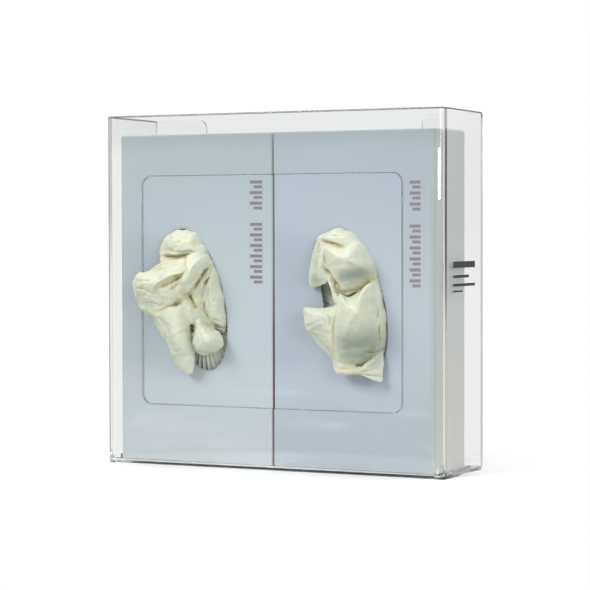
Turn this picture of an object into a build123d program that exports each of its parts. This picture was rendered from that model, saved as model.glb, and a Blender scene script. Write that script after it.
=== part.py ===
from build123d import *

import os
from math import cos, pi, sin

# Wall dispenser for two cartons of disposable gloves, in millimetres.
# The origin is the middle of the case's underside. +X is to the right as seen from the front,
# +Y points to the wall and +Z is up, so the front sheet faces -Y.

# ---------------------------------------------------------------- case, clear PETG sheet
SHEET = 2.4
HEADROOM = 13.9  # from the cartons' tops to the open rim
REAR_BAY = 19.2  # free depth behind the cartons
SIDE_BEND = 4.0  # inner radius of the two upright bends
BASE_BEND = 1.6  # inner radius of the bend between front and base
SHEET_CORNER = 3.0  # rounding of each free corner of the sheet

WINDOW_WIDTH = 207.0
WINDOW_HEIGHT = 166.8
WINDOW_BOTTOM = 45.3
WINDOW_CORNER = 7.0
WINDOW_EDGE = 0.4  # polished rounding round the window

# Where three walls meet, the sheet is punched so that both bends can form.
RELIEF_RADIUS = 2.5
RELIEF_HEIGHT = 4.9
RELIEF_SLIT = 0.8
RELIEF_SLIT_TOP = 10.0

# Two lugs of the base are folded up and cemented inside the side walls.
LUG_LENGTH = 36.8
LUG_HEIGHT = 5.0
LUG_BACK_OFFSET = 21.9  # from the wall plane to the lug's rear end
LUG_BEND = 1.0
LUG_CORNER = 1.2

RECESS_WIDTH = 178.0
RECESS_DEPTH = 46.0
RECESS_TOP_CORNER = 7.0
RECESS_BOTTOM_CORNER = 12.0
KEYHOLE_SPACING = 203.2
KEYHOLE_HEIGHT = 182.0
KEYHOLE_HEAD = 4.8  # radius of the round part that the screw head passes
KEYHOLE_SHANK = 2.4  # radius of the slot that the screw shank slides up
KEYHOLE_RISE = 11.0

# ---------------------------------------------------------------- cartons, folded paperboard
CARTON_WIDTH = 124.5
CARTON_HEIGHT = 240.9
CARTON_DEPTH = 51.5
BOARD = 0.5
CARTON_FOLD = 1.2  # outer radius of a folded edge
CARTON_FRONT_GAP = 0.7  # between front sheet and carton
CARTON_LEFT_GAP = 9.95  # between left wall and left carton
CARTON_RIGHT_GAP = 4.75  # between right carton and right wall
CARTON_SEAM = 1.4  # between the two cartons
END_FLAP_SETBACK = 11.0  # the outer end flap stops short of the front edge
END_FLAP_TAPER = 6.0
END_FLAP_INSET = 0.3  # of the outer end flap from the sides' rounded folds
DUST_FLAP = 42.0
GLUE_LAP = 13.0

OVAL_WIDTH = 46.0
OVAL_HEIGHT = 106.0
OVAL_LEAN = 14.3  # degrees, its top towards the left
OVAL_CENTRE = 119.8  # above the carton's underside

# ---------------------------------------------------------------- gloves, thin latex
REST_GAP = 0.3  # clearance of a soft piece from what holds it
STACK_LAYERS = 9
STACK_OVERLAP = 0.6  # how far neighbouring folds press into each other
STACK_SIDE_GAP = 2.0
STACK_TOP_GAP = 4.0

NEXT_WIDTH = 66.0
NEXT_HEIGHT = 128.0
NEXT_THICKNESS = 5.6
NEXT_SETBACK = 4.5  # from the inside of the carton's front to the ruffles
NEXT_WAVE = 0.9
NEXT_WAVES = 9

# A pulled glove is a neck that comes through the opening and folds that bunch in front of it.
# Each fold is a faceted dome on an ellipse. Places and sizes across and up are shares of the
# opening's width and height, measured from its middle. Stand-offs are shares of the reach.
GLOVE_REACH = 30.0
NECK_REACH = 8.0  # stand-off of the neck's front end
FOLD_SIDES = 14
FOLD_BACK = 2.0  # how far a fold's flat back lies behind its rim
FOLD_BACK_SHARE = 0.86  # the back's size against the rim
FOLD_RINGS = (1.0, 0.8, 0.55, 0.25)  # sizes of the rings from the rim to the crest

# neck: middle across and up, width, height
LEFT_NECK = (-0.13, 0.11, 0.74, 0.62)
RIGHT_NECK = (-0.02, 0.02, 0.74, 0.80)

# fold: middle across and up, width, height, turn in degrees, rim's stand-off, rim's rise per
# share across and per share up, then the crest across, up and out
LEFT_FOLDS = (
    (-0.20, 0.375, 0.47, 0.38, 82, 0.17, -0.17, -1.0, -0.06, 0.38, 0.43),  # dome at the top
    (-0.42, 0.11, 0.75, 0.57, -66, 0.50, 0.26, -0.1, -0.29, 0.12, 0.83),  # large lobe
    (-0.83, 0.09, 0.38, 0.22, -18, 0.43, 0.30, 0.0, -0.77, 0.10, 0.62),  # the lobe's tip
    (-0.13, 0.15, 0.52, 0.44, -48, 0.56, 0.06, -0.7, 0.20, 0.18, 0.95),  # band across it
    (-0.29, -0.23, 0.65, 0.65, 32, 0.37, 0.20, 0.6, -0.11, -0.17, 0.76),  # hanging finger
    (0.28, -0.26, 0.52, 0.27, 24, 0.26, -0.23, 0.2, 0.40, -0.25, 0.64),  # round fingertip
    (0.31, 0.01, 0.48, 0.48, 9, 0.20, -1.0, -0.2, 0.36, 0.04, 0.43),  # fan of folds
    (0.10, -0.05, 0.34, 0.26, -11, 0.36, -0.3, 0.5, 0.10, -0.06, 0.47),  # web between them
)
RIGHT_FOLDS = (
    (-0.51, 0.23, 0.43, 0.33, -6, 0.24, 0.62, 0.0, -0.44, 0.24, 0.43),  # fold down the left
    (-0.17, 0.42, 0.31, 0.33, 80, 0.20, -0.2, -2.4, -0.14, 0.42, 0.43),  # band along the top
    (0.0, 0.235, 0.72, 0.41, 51, 0.28, -0.4, -0.6, 0.10, 0.28, 0.80),  # upper lobe
    (-0.34, -0.18, 0.71, 0.40, 31, 0.46, 0.55, 0.4, -0.26, -0.10, 0.72),  # wing
    (0.19, -0.15, 0.65, 0.60, -7, 0.28, -0.9, 0.1, 0.28, -0.07, 0.93),  # broad panel
    (0.45, -0.10, 0.22, 0.55, 5, 0.08, -0.9, 0.0, 0.46, -0.12, 0.27),  # crumpled side
    (-0.10, 0.06, 0.20, 0.26, 27, 0.45, 0.5, 0.0, -0.13, 0.05, 0.60),  # ridge by the hollow
    (0.25, -0.44, 0.36, 0.36, -89, 0.26, -0.2, 0.2, 0.18, -0.45, 0.50),  # tail at the bottom
)

# ---------------------------------------------------------------- places that follow
CASE_WIDTH = 2 * (SHEET + CARTON_WIDTH) + CARTON_LEFT_GAP + CARTON_SEAM + CARTON_RIGHT_GAP
CASE_DEPTH = 2 * SHEET + CARTON_FRONT_GAP + CARTON_DEPTH + REAR_BAY
CASE_HEIGHT = SHEET + CARTON_HEIGHT + HEADROOM
HALF_WIDTH = CASE_WIDTH / 2
FRONT_Y = -CASE_DEPTH / 2
BACK_Y = CASE_DEPTH / 2
INNER_HALF = HALF_WIDTH - SHEET
BACK_PANEL_Y = BACK_Y - SHEET
BEND_OUTER = SIDE_BEND + SHEET
BASE_BEND_OUTER = BASE_BEND + SHEET

CARTON_FRONT_Y = FRONT_Y + SHEET + CARTON_FRONT_GAP
LEFT_CARTON_X = -INNER_HALF + CARTON_LEFT_GAP + CARTON_WIDTH / 2
RIGHT_CARTON_X = LEFT_CARTON_X + CARTON_WIDTH + CARTON_SEAM
OVAL_Z = SHEET + OVAL_CENTRE
CARTON_FLOOR = SHEET + 3 * BOARD
CARTON_REAR_Y = CARTON_FRONT_Y + CARTON_DEPTH - BOARD

NEXT_FRONT_Y = CARTON_FRONT_Y + BOARD + NEXT_SETBACK
NEXT_REAR_Y = NEXT_FRONT_Y + NEXT_THICKNESS
STACK_FRONT_Y = NEXT_REAR_Y + REST_GAP
STACK_DEPTH = CARTON_REAR_Y - BOARD - REST_GAP - STACK_FRONT_Y
STACK_PITCH = (STACK_DEPTH - STACK_OVERLAP) / STACK_LAYERS
STACK_LAYER = STACK_PITCH + STACK_OVERLAP


def block(low, high):
    """A plain block between two opposite corners."""
    size = [b - a for a, b in zip(low, high)]
    return Pos(*low) * Box(*size, align=(Align.MIN, Align.MIN, Align.MIN))


def tub(half_width, front_y, radius, height):
    """An upright block whose two front corners are rounded, as the bent sheet's plan is."""
    middle = (front_y + BACK_Y) / 2
    plan = Pos(0, middle) * Rectangle(2 * half_width, BACK_Y - front_y)
    front_corners = plan.vertices().sort_by(Axis.Y)[:2]
    return extrude(fillet(front_corners, radius), height)


# ---------------------------------------------------------------- case
def bent_walls():
    """Front and both sides, one sheet bent round two upright lines."""
    outside = tub(HALF_WIDTH, FRONT_Y, BEND_OUTER, CASE_HEIGHT)
    inside = tub(INNER_HALF, FRONT_Y + SHEET, SIDE_BEND, CASE_HEIGHT)
    walls = outside - inside
    rear_corners = walls.edges().filter_by(Axis.X).group_by(Axis.Y)[-1]
    return fillet(rear_corners, SHEET_CORNER)


def window_cutter():
    """The window's rounded rectangle, run through the front sheet."""
    upright = Plane((0, FRONT_Y, WINDOW_BOTTOM + WINDOW_HEIGHT / 2), x_dir=(1, 0, 0), z_dir=(0, -1, 0))
    outline = upright * RectangleRounded(WINDOW_WIDTH, WINDOW_HEIGHT, WINDOW_CORNER)
    return extrude(outline, SHEET, both=True)


def cut_window(walls):
    """Cuts the window and rounds both of its rims."""
    opened = walls - window_cutter()
    rims = [
        e
        for e in opened.edges()
        if abs(e.center().X) < HALF_WIDTH - BEND_OUTER
        and WINDOW_BOTTOM - SHEET < e.center().Z < WINDOW_BOTTOM + WINDOW_HEIGHT + SHEET
        and e.length > SHEET + WINDOW_EDGE
    ]
    return fillet(rims, WINDOW_EDGE)


def base_fold():
    """The base with its bend up into the front sheet, trimmed to the plan of the case."""
    upright_top = BASE_BEND_OUTER + SHEET
    profile = Polyline(
        (FRONT_Y, 0),
        (BACK_PANEL_Y, 0),
        (BACK_PANEL_Y, SHEET),
        (FRONT_Y + SHEET, SHEET),
        (FRONT_Y + SHEET, upright_top),
        (FRONT_Y, upright_top),
        close=True,
    )
    section = make_face(profile)
    by_place = section.vertices().sort_by(lambda v: v.Y + v.X)
    section = fillet(by_place[0], BASE_BEND_OUTER)
    inner_corner = section.vertices().sort_by_distance((FRONT_Y + SHEET, SHEET))[0]
    section = fillet(inner_corner, BASE_BEND)
    along_x = Plane((-HALF_WIDTH, 0, 0), x_dir=(0, 1, 0), z_dir=(1, 0, 0))
    sheet = extrude(along_x * section, CASE_WIDTH)
    return sheet & tub(HALF_WIDTH, FRONT_Y, BEND_OUTER, upright_top)


def bond_lug(side):
    """A lug of the base folded up against the inside of one side wall."""
    rear = BACK_Y - LUG_BACK_OFFSET
    inner = INNER_HALF - SHEET
    lug = block((inner, rear - LUG_LENGTH, 0), (INNER_HALF, rear, LUG_HEIGHT))
    top_corners = lug.edges().filter_by(Axis.X).group_by(Axis.Z)[-1]
    lug = fillet(top_corners, LUG_CORNER)
    root = block((inner - LUG_BEND, rear - LUG_LENGTH, 0), (inner, rear, SHEET + LUG_BEND))
    curve = Pos(inner - LUG_BEND, rear - LUG_LENGTH / 2, SHEET + LUG_BEND)
    curve = curve * Rot(90, 0, 0) * Cylinder(LUG_BEND, LUG_LENGTH)
    lug = lug + (root - curve)
    return lug if side > 0 else mirror(lug, Plane.YZ)


def corner_relief(side):
    """The punched hole where front, side and base meet, and the slit that rises from it."""
    centre = (INNER_HALF, FRONT_Y + SHEET, RELIEF_HEIGHT)
    reach = 2 * BEND_OUTER
    diagonal = Plane(centre, x_dir=(1, 1, 0), z_dir=(1, -1, 0))
    hole = diagonal * Cylinder(RELIEF_RADIUS, reach)
    rise = RELIEF_SLIT_TOP - RELIEF_HEIGHT
    slit = diagonal * Pos(0, rise / 2) * Box(RELIEF_SLIT, rise, reach)
    relief = hole + slit
    return relief if side > 0 else mirror(relief, Plane.YZ)


def case_body():
    """Front, sides and base: one sheet, cut out, punched and bent."""
    walls = cut_window(bent_walls())
    flat_half = HALF_WIDTH - BEND_OUTER
    front_strip = block((-flat_half, FRONT_Y, 0), (flat_half, FRONT_Y + SHEET, BASE_BEND_OUTER))
    body = (walls - front_strip) + base_fold() + bond_lug(1) + bond_lug(-1)
    return body - corner_relief(1) - corner_relief(-1)


def keyhole():
    """The outline of a keyhole: a round hole with a narrower slot above it."""
    slot = Pos(0, KEYHOLE_RISE / 2) * Rectangle(2 * KEYHOLE_SHANK, KEYHOLE_RISE)
    return Circle(KEYHOLE_HEAD) + slot + Pos(0, KEYHOLE_RISE) * Circle(KEYHOLE_SHANK)


def back_panel():
    """The flat back between the side walls, with a hand recess in its top edge."""
    outline = Pos(0, CASE_HEIGHT / 2) * Rectangle(2 * INNER_HALF, CASE_HEIGHT)
    outline -= Pos(0, CASE_HEIGHT - RECESS_DEPTH / 2) * Rectangle(RECESS_WIDTH, RECESS_DEPTH)
    for height, radius in (
        (CASE_HEIGHT - RECESS_DEPTH, RECESS_BOTTOM_CORNER),
        (CASE_HEIGHT, RECESS_TOP_CORNER),
    ):
        recess = outline.vertices().filter_by(lambda v: abs(v.X) < INNER_HALF - SHEET)
        outline = fillet([v for v in recess if abs(v.Y - height) < SHEET], radius)
    for side in (-1, 1):
        outline -= Pos(side * KEYHOLE_SPACING / 2, KEYHOLE_HEIGHT) * keyhole()
    upright = Plane((0, BACK_PANEL_Y, 0), x_dir=(-1, 0, 0), z_dir=(0, 1, 0))
    return extrude(upright * outline, SHEET)


# ---------------------------------------------------------------- cartons
def end_flap(underside_z):
    """The outer end flap: full width at the rear fold, its free corners cut back."""
    half = CARTON_WIDTH / 2 - CARTON_FOLD - END_FLAP_INSET
    rear = CARTON_DEPTH - CARTON_FOLD - END_FLAP_INSET
    front = END_FLAP_SETBACK
    outline = Polyline(
        (-half, rear),
        (half, rear),
        (half, front + END_FLAP_TAPER),
        (half - END_FLAP_TAPER, front),
        (END_FLAP_TAPER - half, front),
        (-half, front + END_FLAP_TAPER),
        close=True,
    )
    return extrude(Pos(0, 0, underside_z) * make_face(outline), BOARD)


def carton():
    """A folded carton standing on z = 0 with its front face on y = 0, middle on x = 0."""
    box_height = CARTON_HEIGHT - 2 * BOARD
    half = CARTON_WIDTH / 2
    outside = block((-half, 0, BOARD), (half, CARTON_DEPTH, BOARD + box_height))
    outside = fillet(outside.edges(), CARTON_FOLD)
    inside = block(
        (BOARD - half, BOARD, 2 * BOARD), (half - BOARD, CARTON_DEPTH - BOARD, box_height)
    )
    inside = fillet(inside.edges().filter_by(Axis.Z), CARTON_FOLD - BOARD)
    shell = outside - inside
    for flap_z in (2 * BOARD, box_height - BOARD):
        for side in (-1, 1):
            edges = sorted((side * (half - BOARD), side * (half - BOARD - DUST_FLAP)))
            shell += block(
                (edges[0], 2 * BOARD, flap_z),
                (edges[1], CARTON_DEPTH - 2 * BOARD, flap_z + BOARD),
            )
    shell += block(
        (BOARD - half, CARTON_DEPTH - 2 * BOARD, 4 * BOARD),
        (BOARD - half + GLUE_LAP, CARTON_DEPTH - BOARD, box_height - 2 * BOARD),
    )
    shell += end_flap(0) + end_flap(BOARD + box_height)
    front = Plane((0, 0, OVAL_CENTRE), x_dir=(1, 0, 0), z_dir=(0, -1, 0))
    oval = front * Rot(0, 0, OVAL_LEAN) * Ellipse(OVAL_WIDTH / 2, OVAL_HEIGHT / 2)
    return shell - extrude(oval, 2 * BOARD, both=True)


# ---------------------------------------------------------------- gloves
def glove_stack():
    """The packed gloves: rounded folds one behind the other, middle of the underside at x = 0."""
    width = CARTON_WIDTH - 2 * (BOARD + STACK_SIDE_GAP)
    profile = Sketch()
    for layer in range(STACK_LAYERS):
        profile += Pos(0, STACK_LAYER / 2 + layer * STACK_PITCH) * SlotOverall(width, STACK_LAYER)
    return extrude(profile, CARTON_HEIGHT - 6 * BOARD - STACK_TOP_GAP)


def next_glove():
    """The glove behind the opening: a pad with upright ruffles, its back on y = 0."""
    half = NEXT_WIDTH / 2
    step = NEXT_WIDTH / (2 * NEXT_WAVES)
    crest = -NEXT_THICKNESS
    ruffle = [
        (half - step * i, crest + (NEXT_WAVE if i % 2 else 0)) for i in range(2 * NEXT_WAVES + 1)
    ]
    front = Spline(*ruffle)
    rest = Polyline(ruffle[-1], (-half, 0), (half, 0), ruffle[0])
    pad = extrude(make_face(front + rest), NEXT_HEIGHT)
    return Pos(0, 0, -NEXT_HEIGHT / 2) * pad


def ring(middle, width, height, turn, rise, standoff):
    """A faceted ellipse across the way out, leaning by its rise per unit across and up."""
    points = []
    for i in range(FOLD_SIDES):
        angle = 2 * pi * i / FOLD_SIDES
        side = Vector(width / 2 * cos(angle), 0, height / 2 * sin(angle)).rotate(Axis.Y, -turn)
        out = standoff + side.X * rise[0] + side.Z * rise[1]
        points.append(Vector(middle[0] + side.X, -out, middle[1] + side.Z))
    return Wire.make_polygon(points, close=True)


def fold(across, up, width, height, turn, rim, rise_across, rise_up, crest_across, crest_up, crest):
    """A faceted dome: its rings shrink from the leaning rim to the crest, on a flat back."""
    rise = (rise_across * GLOVE_REACH / OVAL_WIDTH, rise_up * GLOVE_REACH / OVAL_HEIGHT)
    stations = [(FOLD_BACK_SHARE, rim * GLOVE_REACH - FOLD_BACK)]
    stations += [(size, GLOVE_REACH * (crest + (rim - crest) * size**2)) for size in FOLD_RINGS]
    rings = []
    for size, standoff in stations:
        middle = (
            OVAL_WIDTH * (crest_across + (across - crest_across) * size),
            OVAL_HEIGHT * (crest_up + (up - crest_up) * size),
        )
        spread = (size * width * OVAL_WIDTH, size * height * OVAL_HEIGHT)
        rings.append(ring(middle, *spread, turn, rise, standoff))
    return Solid.make_loft(rings, ruled=True)


def glove_neck(across, up, width, height):
    """The neck, from close in front of the next glove, through the opening, into the folds."""
    middle = (across * OVAL_WIDTH, up * OVAL_HEIGHT)
    spread = (width * OVAL_WIDTH, height * OVAL_HEIGHT)
    ends = (CARTON_FRONT_Y - NEXT_FRONT_Y + REST_GAP, NECK_REACH)
    rings = [ring(middle, *spread, OVAL_LEAN, (0, 0), standoff) for standoff in ends]
    return Solid.make_loft(rings, ruled=True)


def pulled_glove(neck, folds):
    """A glove drawn out of the opening: folds in front of the carton, fused to the neck."""
    bunch = fold(*folds[0])
    for shape in folds[1:]:
        bunch += fold(*shape)
    room = block(
        (-2 * OVAL_WIDTH, -2 * GLOVE_REACH, -OVAL_HEIGHT), (2 * OVAL_WIDTH, -REST_GAP, OVAL_HEIGHT)
    )
    return (bunch & room) + glove_neck(*neck)


# ---------------------------------------------------------------- assembly
pieces = {"case_body": case_body(), "back_panel": back_panel()}
one_stack = glove_stack()
one_carton = carton()
one_next = next_glove()
gloves = {
    "left": (LEFT_CARTON_X, pulled_glove(LEFT_NECK, LEFT_FOLDS)),
    "right": (RIGHT_CARTON_X, pulled_glove(RIGHT_NECK, RIGHT_FOLDS)),
}
for side, (middle, one_glove) in gloves.items():
    pieces[f"carton_{side}"] = Pos(middle, CARTON_FRONT_Y, SHEET) * one_carton
    pieces[f"glove_stack_{side}"] = Pos(middle, STACK_FRONT_Y, CARTON_FLOOR) * one_stack
    pieces[f"next_glove_{side}"] = Pos(middle, NEXT_REAR_Y, OVAL_Z) * one_next
    pieces[f"pulled_glove_{side}"] = Pos(middle, CARTON_FRONT_Y, OVAL_Z) * one_glove

os.makedirs("parts", exist_ok=True)
for name, shape in pieces.items():
    shape.label = name
    export_step(shape, f"parts/{name}.step")
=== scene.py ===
"""Looks of a clear wall dispenser that holds two cartons of disposable gloves.

Lengths of the object's own pieces are in millimetres and become metres when a mesh is made.
+X is to the right as seen from the front, +Y points to the wall and +Z is up.
"""

import logging
import math
from dataclasses import dataclass, field
from enum import Enum
from typing import Any

import bmesh
import bpy
import numpy as np
from mathutils import Matrix, Vector

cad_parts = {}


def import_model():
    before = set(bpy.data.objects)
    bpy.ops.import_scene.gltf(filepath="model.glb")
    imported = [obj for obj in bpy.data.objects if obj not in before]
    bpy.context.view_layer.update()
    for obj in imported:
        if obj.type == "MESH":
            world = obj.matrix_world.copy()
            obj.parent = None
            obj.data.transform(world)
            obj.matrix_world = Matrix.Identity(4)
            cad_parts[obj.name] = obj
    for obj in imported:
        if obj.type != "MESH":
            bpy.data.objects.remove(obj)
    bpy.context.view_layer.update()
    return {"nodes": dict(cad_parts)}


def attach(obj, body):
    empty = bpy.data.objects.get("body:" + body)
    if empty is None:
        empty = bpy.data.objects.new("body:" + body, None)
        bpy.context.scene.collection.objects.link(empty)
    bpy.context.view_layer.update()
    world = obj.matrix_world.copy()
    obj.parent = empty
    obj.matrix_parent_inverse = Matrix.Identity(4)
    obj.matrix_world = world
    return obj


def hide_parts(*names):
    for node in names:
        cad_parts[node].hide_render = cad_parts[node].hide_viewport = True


LOG = logging.getLogger("glove_dispenser")
MM = 0.001

MERGE_REACH = 1e-6  # metres within which a solid's loose corners are one
FLAT_TURN = math.radians(0.3)  # faces that turn less than this are one flat face
CUT_TURN = math.radians(50)  # a sheet's cut edges turn more than this
SOFT_TURN = math.radians(40)  # shading runs over edges that turn less than this
SQUARE_NORMAL = 0.9995  # the greatest part of a flat face's normal is at least this
UPRIGHT_NORMAL = 0.02  # an upright face's normal rises less than this

Colour = tuple[float, float, float, float]
Point = tuple[float, float, float]
Pair = tuple[float, float]
Socket = bpy.types.NodeSocket


def linear(red: float, green: float, blue: float) -> Colour:
    """A display colour, each part from 0 to 255, as the linear colour that shaders take.

    Args:
        red: display red.
        green: display green.
        blue: display blue.

    Returns:
        Linear red, green, blue and an alpha of 1.
    """
    parts = np.array((red, green, blue)) / 255
    low = parts / 12.92
    high = ((parts + 0.055) / 1.055) ** 2.4
    return (*(float(v) for v in np.where(parts <= 0.04045, low, high)), 1.0)


class Part(Enum):
    """The names of the pieces that the frame carries."""

    CASE = "case_body"
    BACK = "back_panel"
    CARTON_LEFT = "carton_left"
    CARTON_RIGHT = "carton_right"
    STACK_LEFT = "glove_stack_left"
    STACK_RIGHT = "glove_stack_right"
    NEXT_LEFT = "next_glove_left"
    NEXT_RIGHT = "next_glove_right"
    PULLED_LEFT = "pulled_glove_left"
    PULLED_RIGHT = "pulled_glove_right"


class Slot(Enum):
    """The material slots of the record."""

    CLEAR = "clear_sheet"
    BOARD = "carton_board"
    LATEX = "glove_latex"


# ------------------------------------------------------------------ shader graphs
class Graph:
    """A material's or the world's node tree, with short ways to add and join nodes."""

    def __init__(self, tree: bpy.types.NodeTree) -> None:
        """Empties the tree.

        Args:
            tree: the node tree to build in.
        """
        self.tree = tree
        self.tree.nodes.clear()

    def add(self, kind: str, inputs: dict[Any, Any] | None = None, **settings: Any) -> bpy.types.Node:
        """Adds one node.

        Args:
            kind: the node's type without its "ShaderNode" prefix.
            inputs: values or sockets for its inputs, by name or number.
            settings: its own properties.

        Returns:
            The new node.
        """
        node = self.tree.nodes.new("ShaderNode" + kind)
        for name, value in settings.items():
            setattr(node, name, value)
        for key, value in (inputs or {}).items():
            if isinstance(value, Socket):
                self.tree.links.new(value, node.inputs[key])
            else:
                node.inputs[key].default_value = value
        return node

    def maths(self, operation: str, first: Any, second: Any = 0.0, third: Any = 0.0) -> Socket:
        """The result of one arithmetic step on numbers or sockets."""
        return self.add("Math", {0: first, 1: second, 2: third}, operation=operation).outputs[0]

    def times(self, first: Any, *others: Any) -> Socket:
        """The product of numbers or sockets."""
        for other in others:
            first = self.maths("MULTIPLY", first, other)
        return first

    def rest(self, value: Any) -> Socket:
        """1 less the value."""
        return self.maths("SUBTRACT", 1.0, value)

    def smooth(self, value: Any, low: Any, high: Any) -> Socket:
        """0 below low, 1 above high and a smooth rise between them."""
        inputs = {"Value": value, "From Min": low, "From Max": high}
        return self.add("MapRange", inputs, interpolation_type="SMOOTHSTEP").outputs[0]

    def within(self, value: Any, low: float, high: float, soft: float) -> Socket:
        """A mask on a band of values.

        Args:
            value: the number or socket to test.
            low: the band's lower end.
            high: the band's upper end.
            soft: how wide each end's fade is.

        Returns:
            1 between low and high, and 0 outside.
        """
        rise = self.smooth(value, low - soft / 2, low + soft / 2)
        fall = self.smooth(value, high - soft / 2, high + soft / 2)
        return self.maths("SUBTRACT", rise, fall)

    def blend(self, factor: Any, first: Any, second: Any) -> Socket:
        """A mix of two colours: the first at factor 0 and the second at factor 1."""
        return self.add("Mix", {0: factor, 6: first, 7: second}, data_type="RGBA").outputs[2]

    def darken(self, factor: Any, first: Any, second: Any) -> Socket:
        """The first colour, multiplied by the second as far as factor says."""
        node = self.add("Mix", {0: factor, 6: first, 7: second}, data_type="RGBA", blend_type="MULTIPLY")
        return node.outputs[2]

    def mix(self, factor: Any, first: bpy.types.Node, second: bpy.types.Node) -> bpy.types.Node:
        """A mix of two shaders: the first at factor 0 and the second at factor 1."""
        return self.add("MixShader", {0: factor, 1: first.outputs[0], 2: second.outputs[0]})

    def clear(self, red: float, green: float, blue: float) -> bpy.types.Node:
        """A shader that lets light straight through and colours it."""
        return self.add("BsdfTransparent", {0: (red, green, blue, 1.0)})

    def place(self) -> tuple[Socket, Socket, Socket]:
        """The object coordinates x, y and z in metres."""
        coordinates = self.add("TexCoord").outputs["Object"]
        split = self.add("SeparateXYZ", {0: coordinates})
        return split.outputs[0], split.outputs[1], split.outputs[2]

    def noise(self, size: float, detail: float = 2.0, stretch: Point = (1, 1, 1), turn: Point = (0, 0, 0)) -> Any:
        """A noise value over object coordinates.

        Args:
            size: the length of one patch in metres.
            detail: the octaves of the noise.
            stretch: how many times longer a patch is along each turned axis.
            turn: turn about x, y and z in degrees.

        Returns:
            The noise socket, from 0 to 1.
        """
        coordinates = self.add("TexCoord").outputs["Object"]
        mapping = self.add(
            "Mapping",
            {
                "Vector": coordinates,
                "Rotation": tuple(math.radians(v) for v in turn),
                "Scale": tuple(1 / (size * v) for v in stretch),
            },
            vector_type="POINT",
        )
        return self.add("TexNoise", {"Vector": mapping.outputs[0], "Scale": 1.0, "Detail": detail}).outputs[0]

    def finish(self, surface: Any, volume: Any = None) -> None:
        """Joins the shaders to the output.

        Args:
            surface: the surface's shader socket.
            volume: the volume's shader socket, where there is one.
        """
        output = self.add("OutputMaterial", {"Surface": surface})
        if volume is not None:
            self.tree.links.new(volume, output.inputs["Volume"])


def new_material(name: str) -> tuple[bpy.types.Material, Graph]:
    """A new material and its empty graph.

    Args:
        name: the material's name.

    Returns:
        The material and a graph of its node tree.
    """
    material = bpy.data.materials.new(name)
    material.use_nodes = True
    return material, Graph(material.node_tree)


def trapped_light(graph: Graph, path: bpy.types.Node) -> Socket:
    """1 for light that has been turned back inside the sheet more than once."""
    return graph.maths("GREATER_THAN", path.outputs["Glossy Depth"], 1.5)


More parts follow.
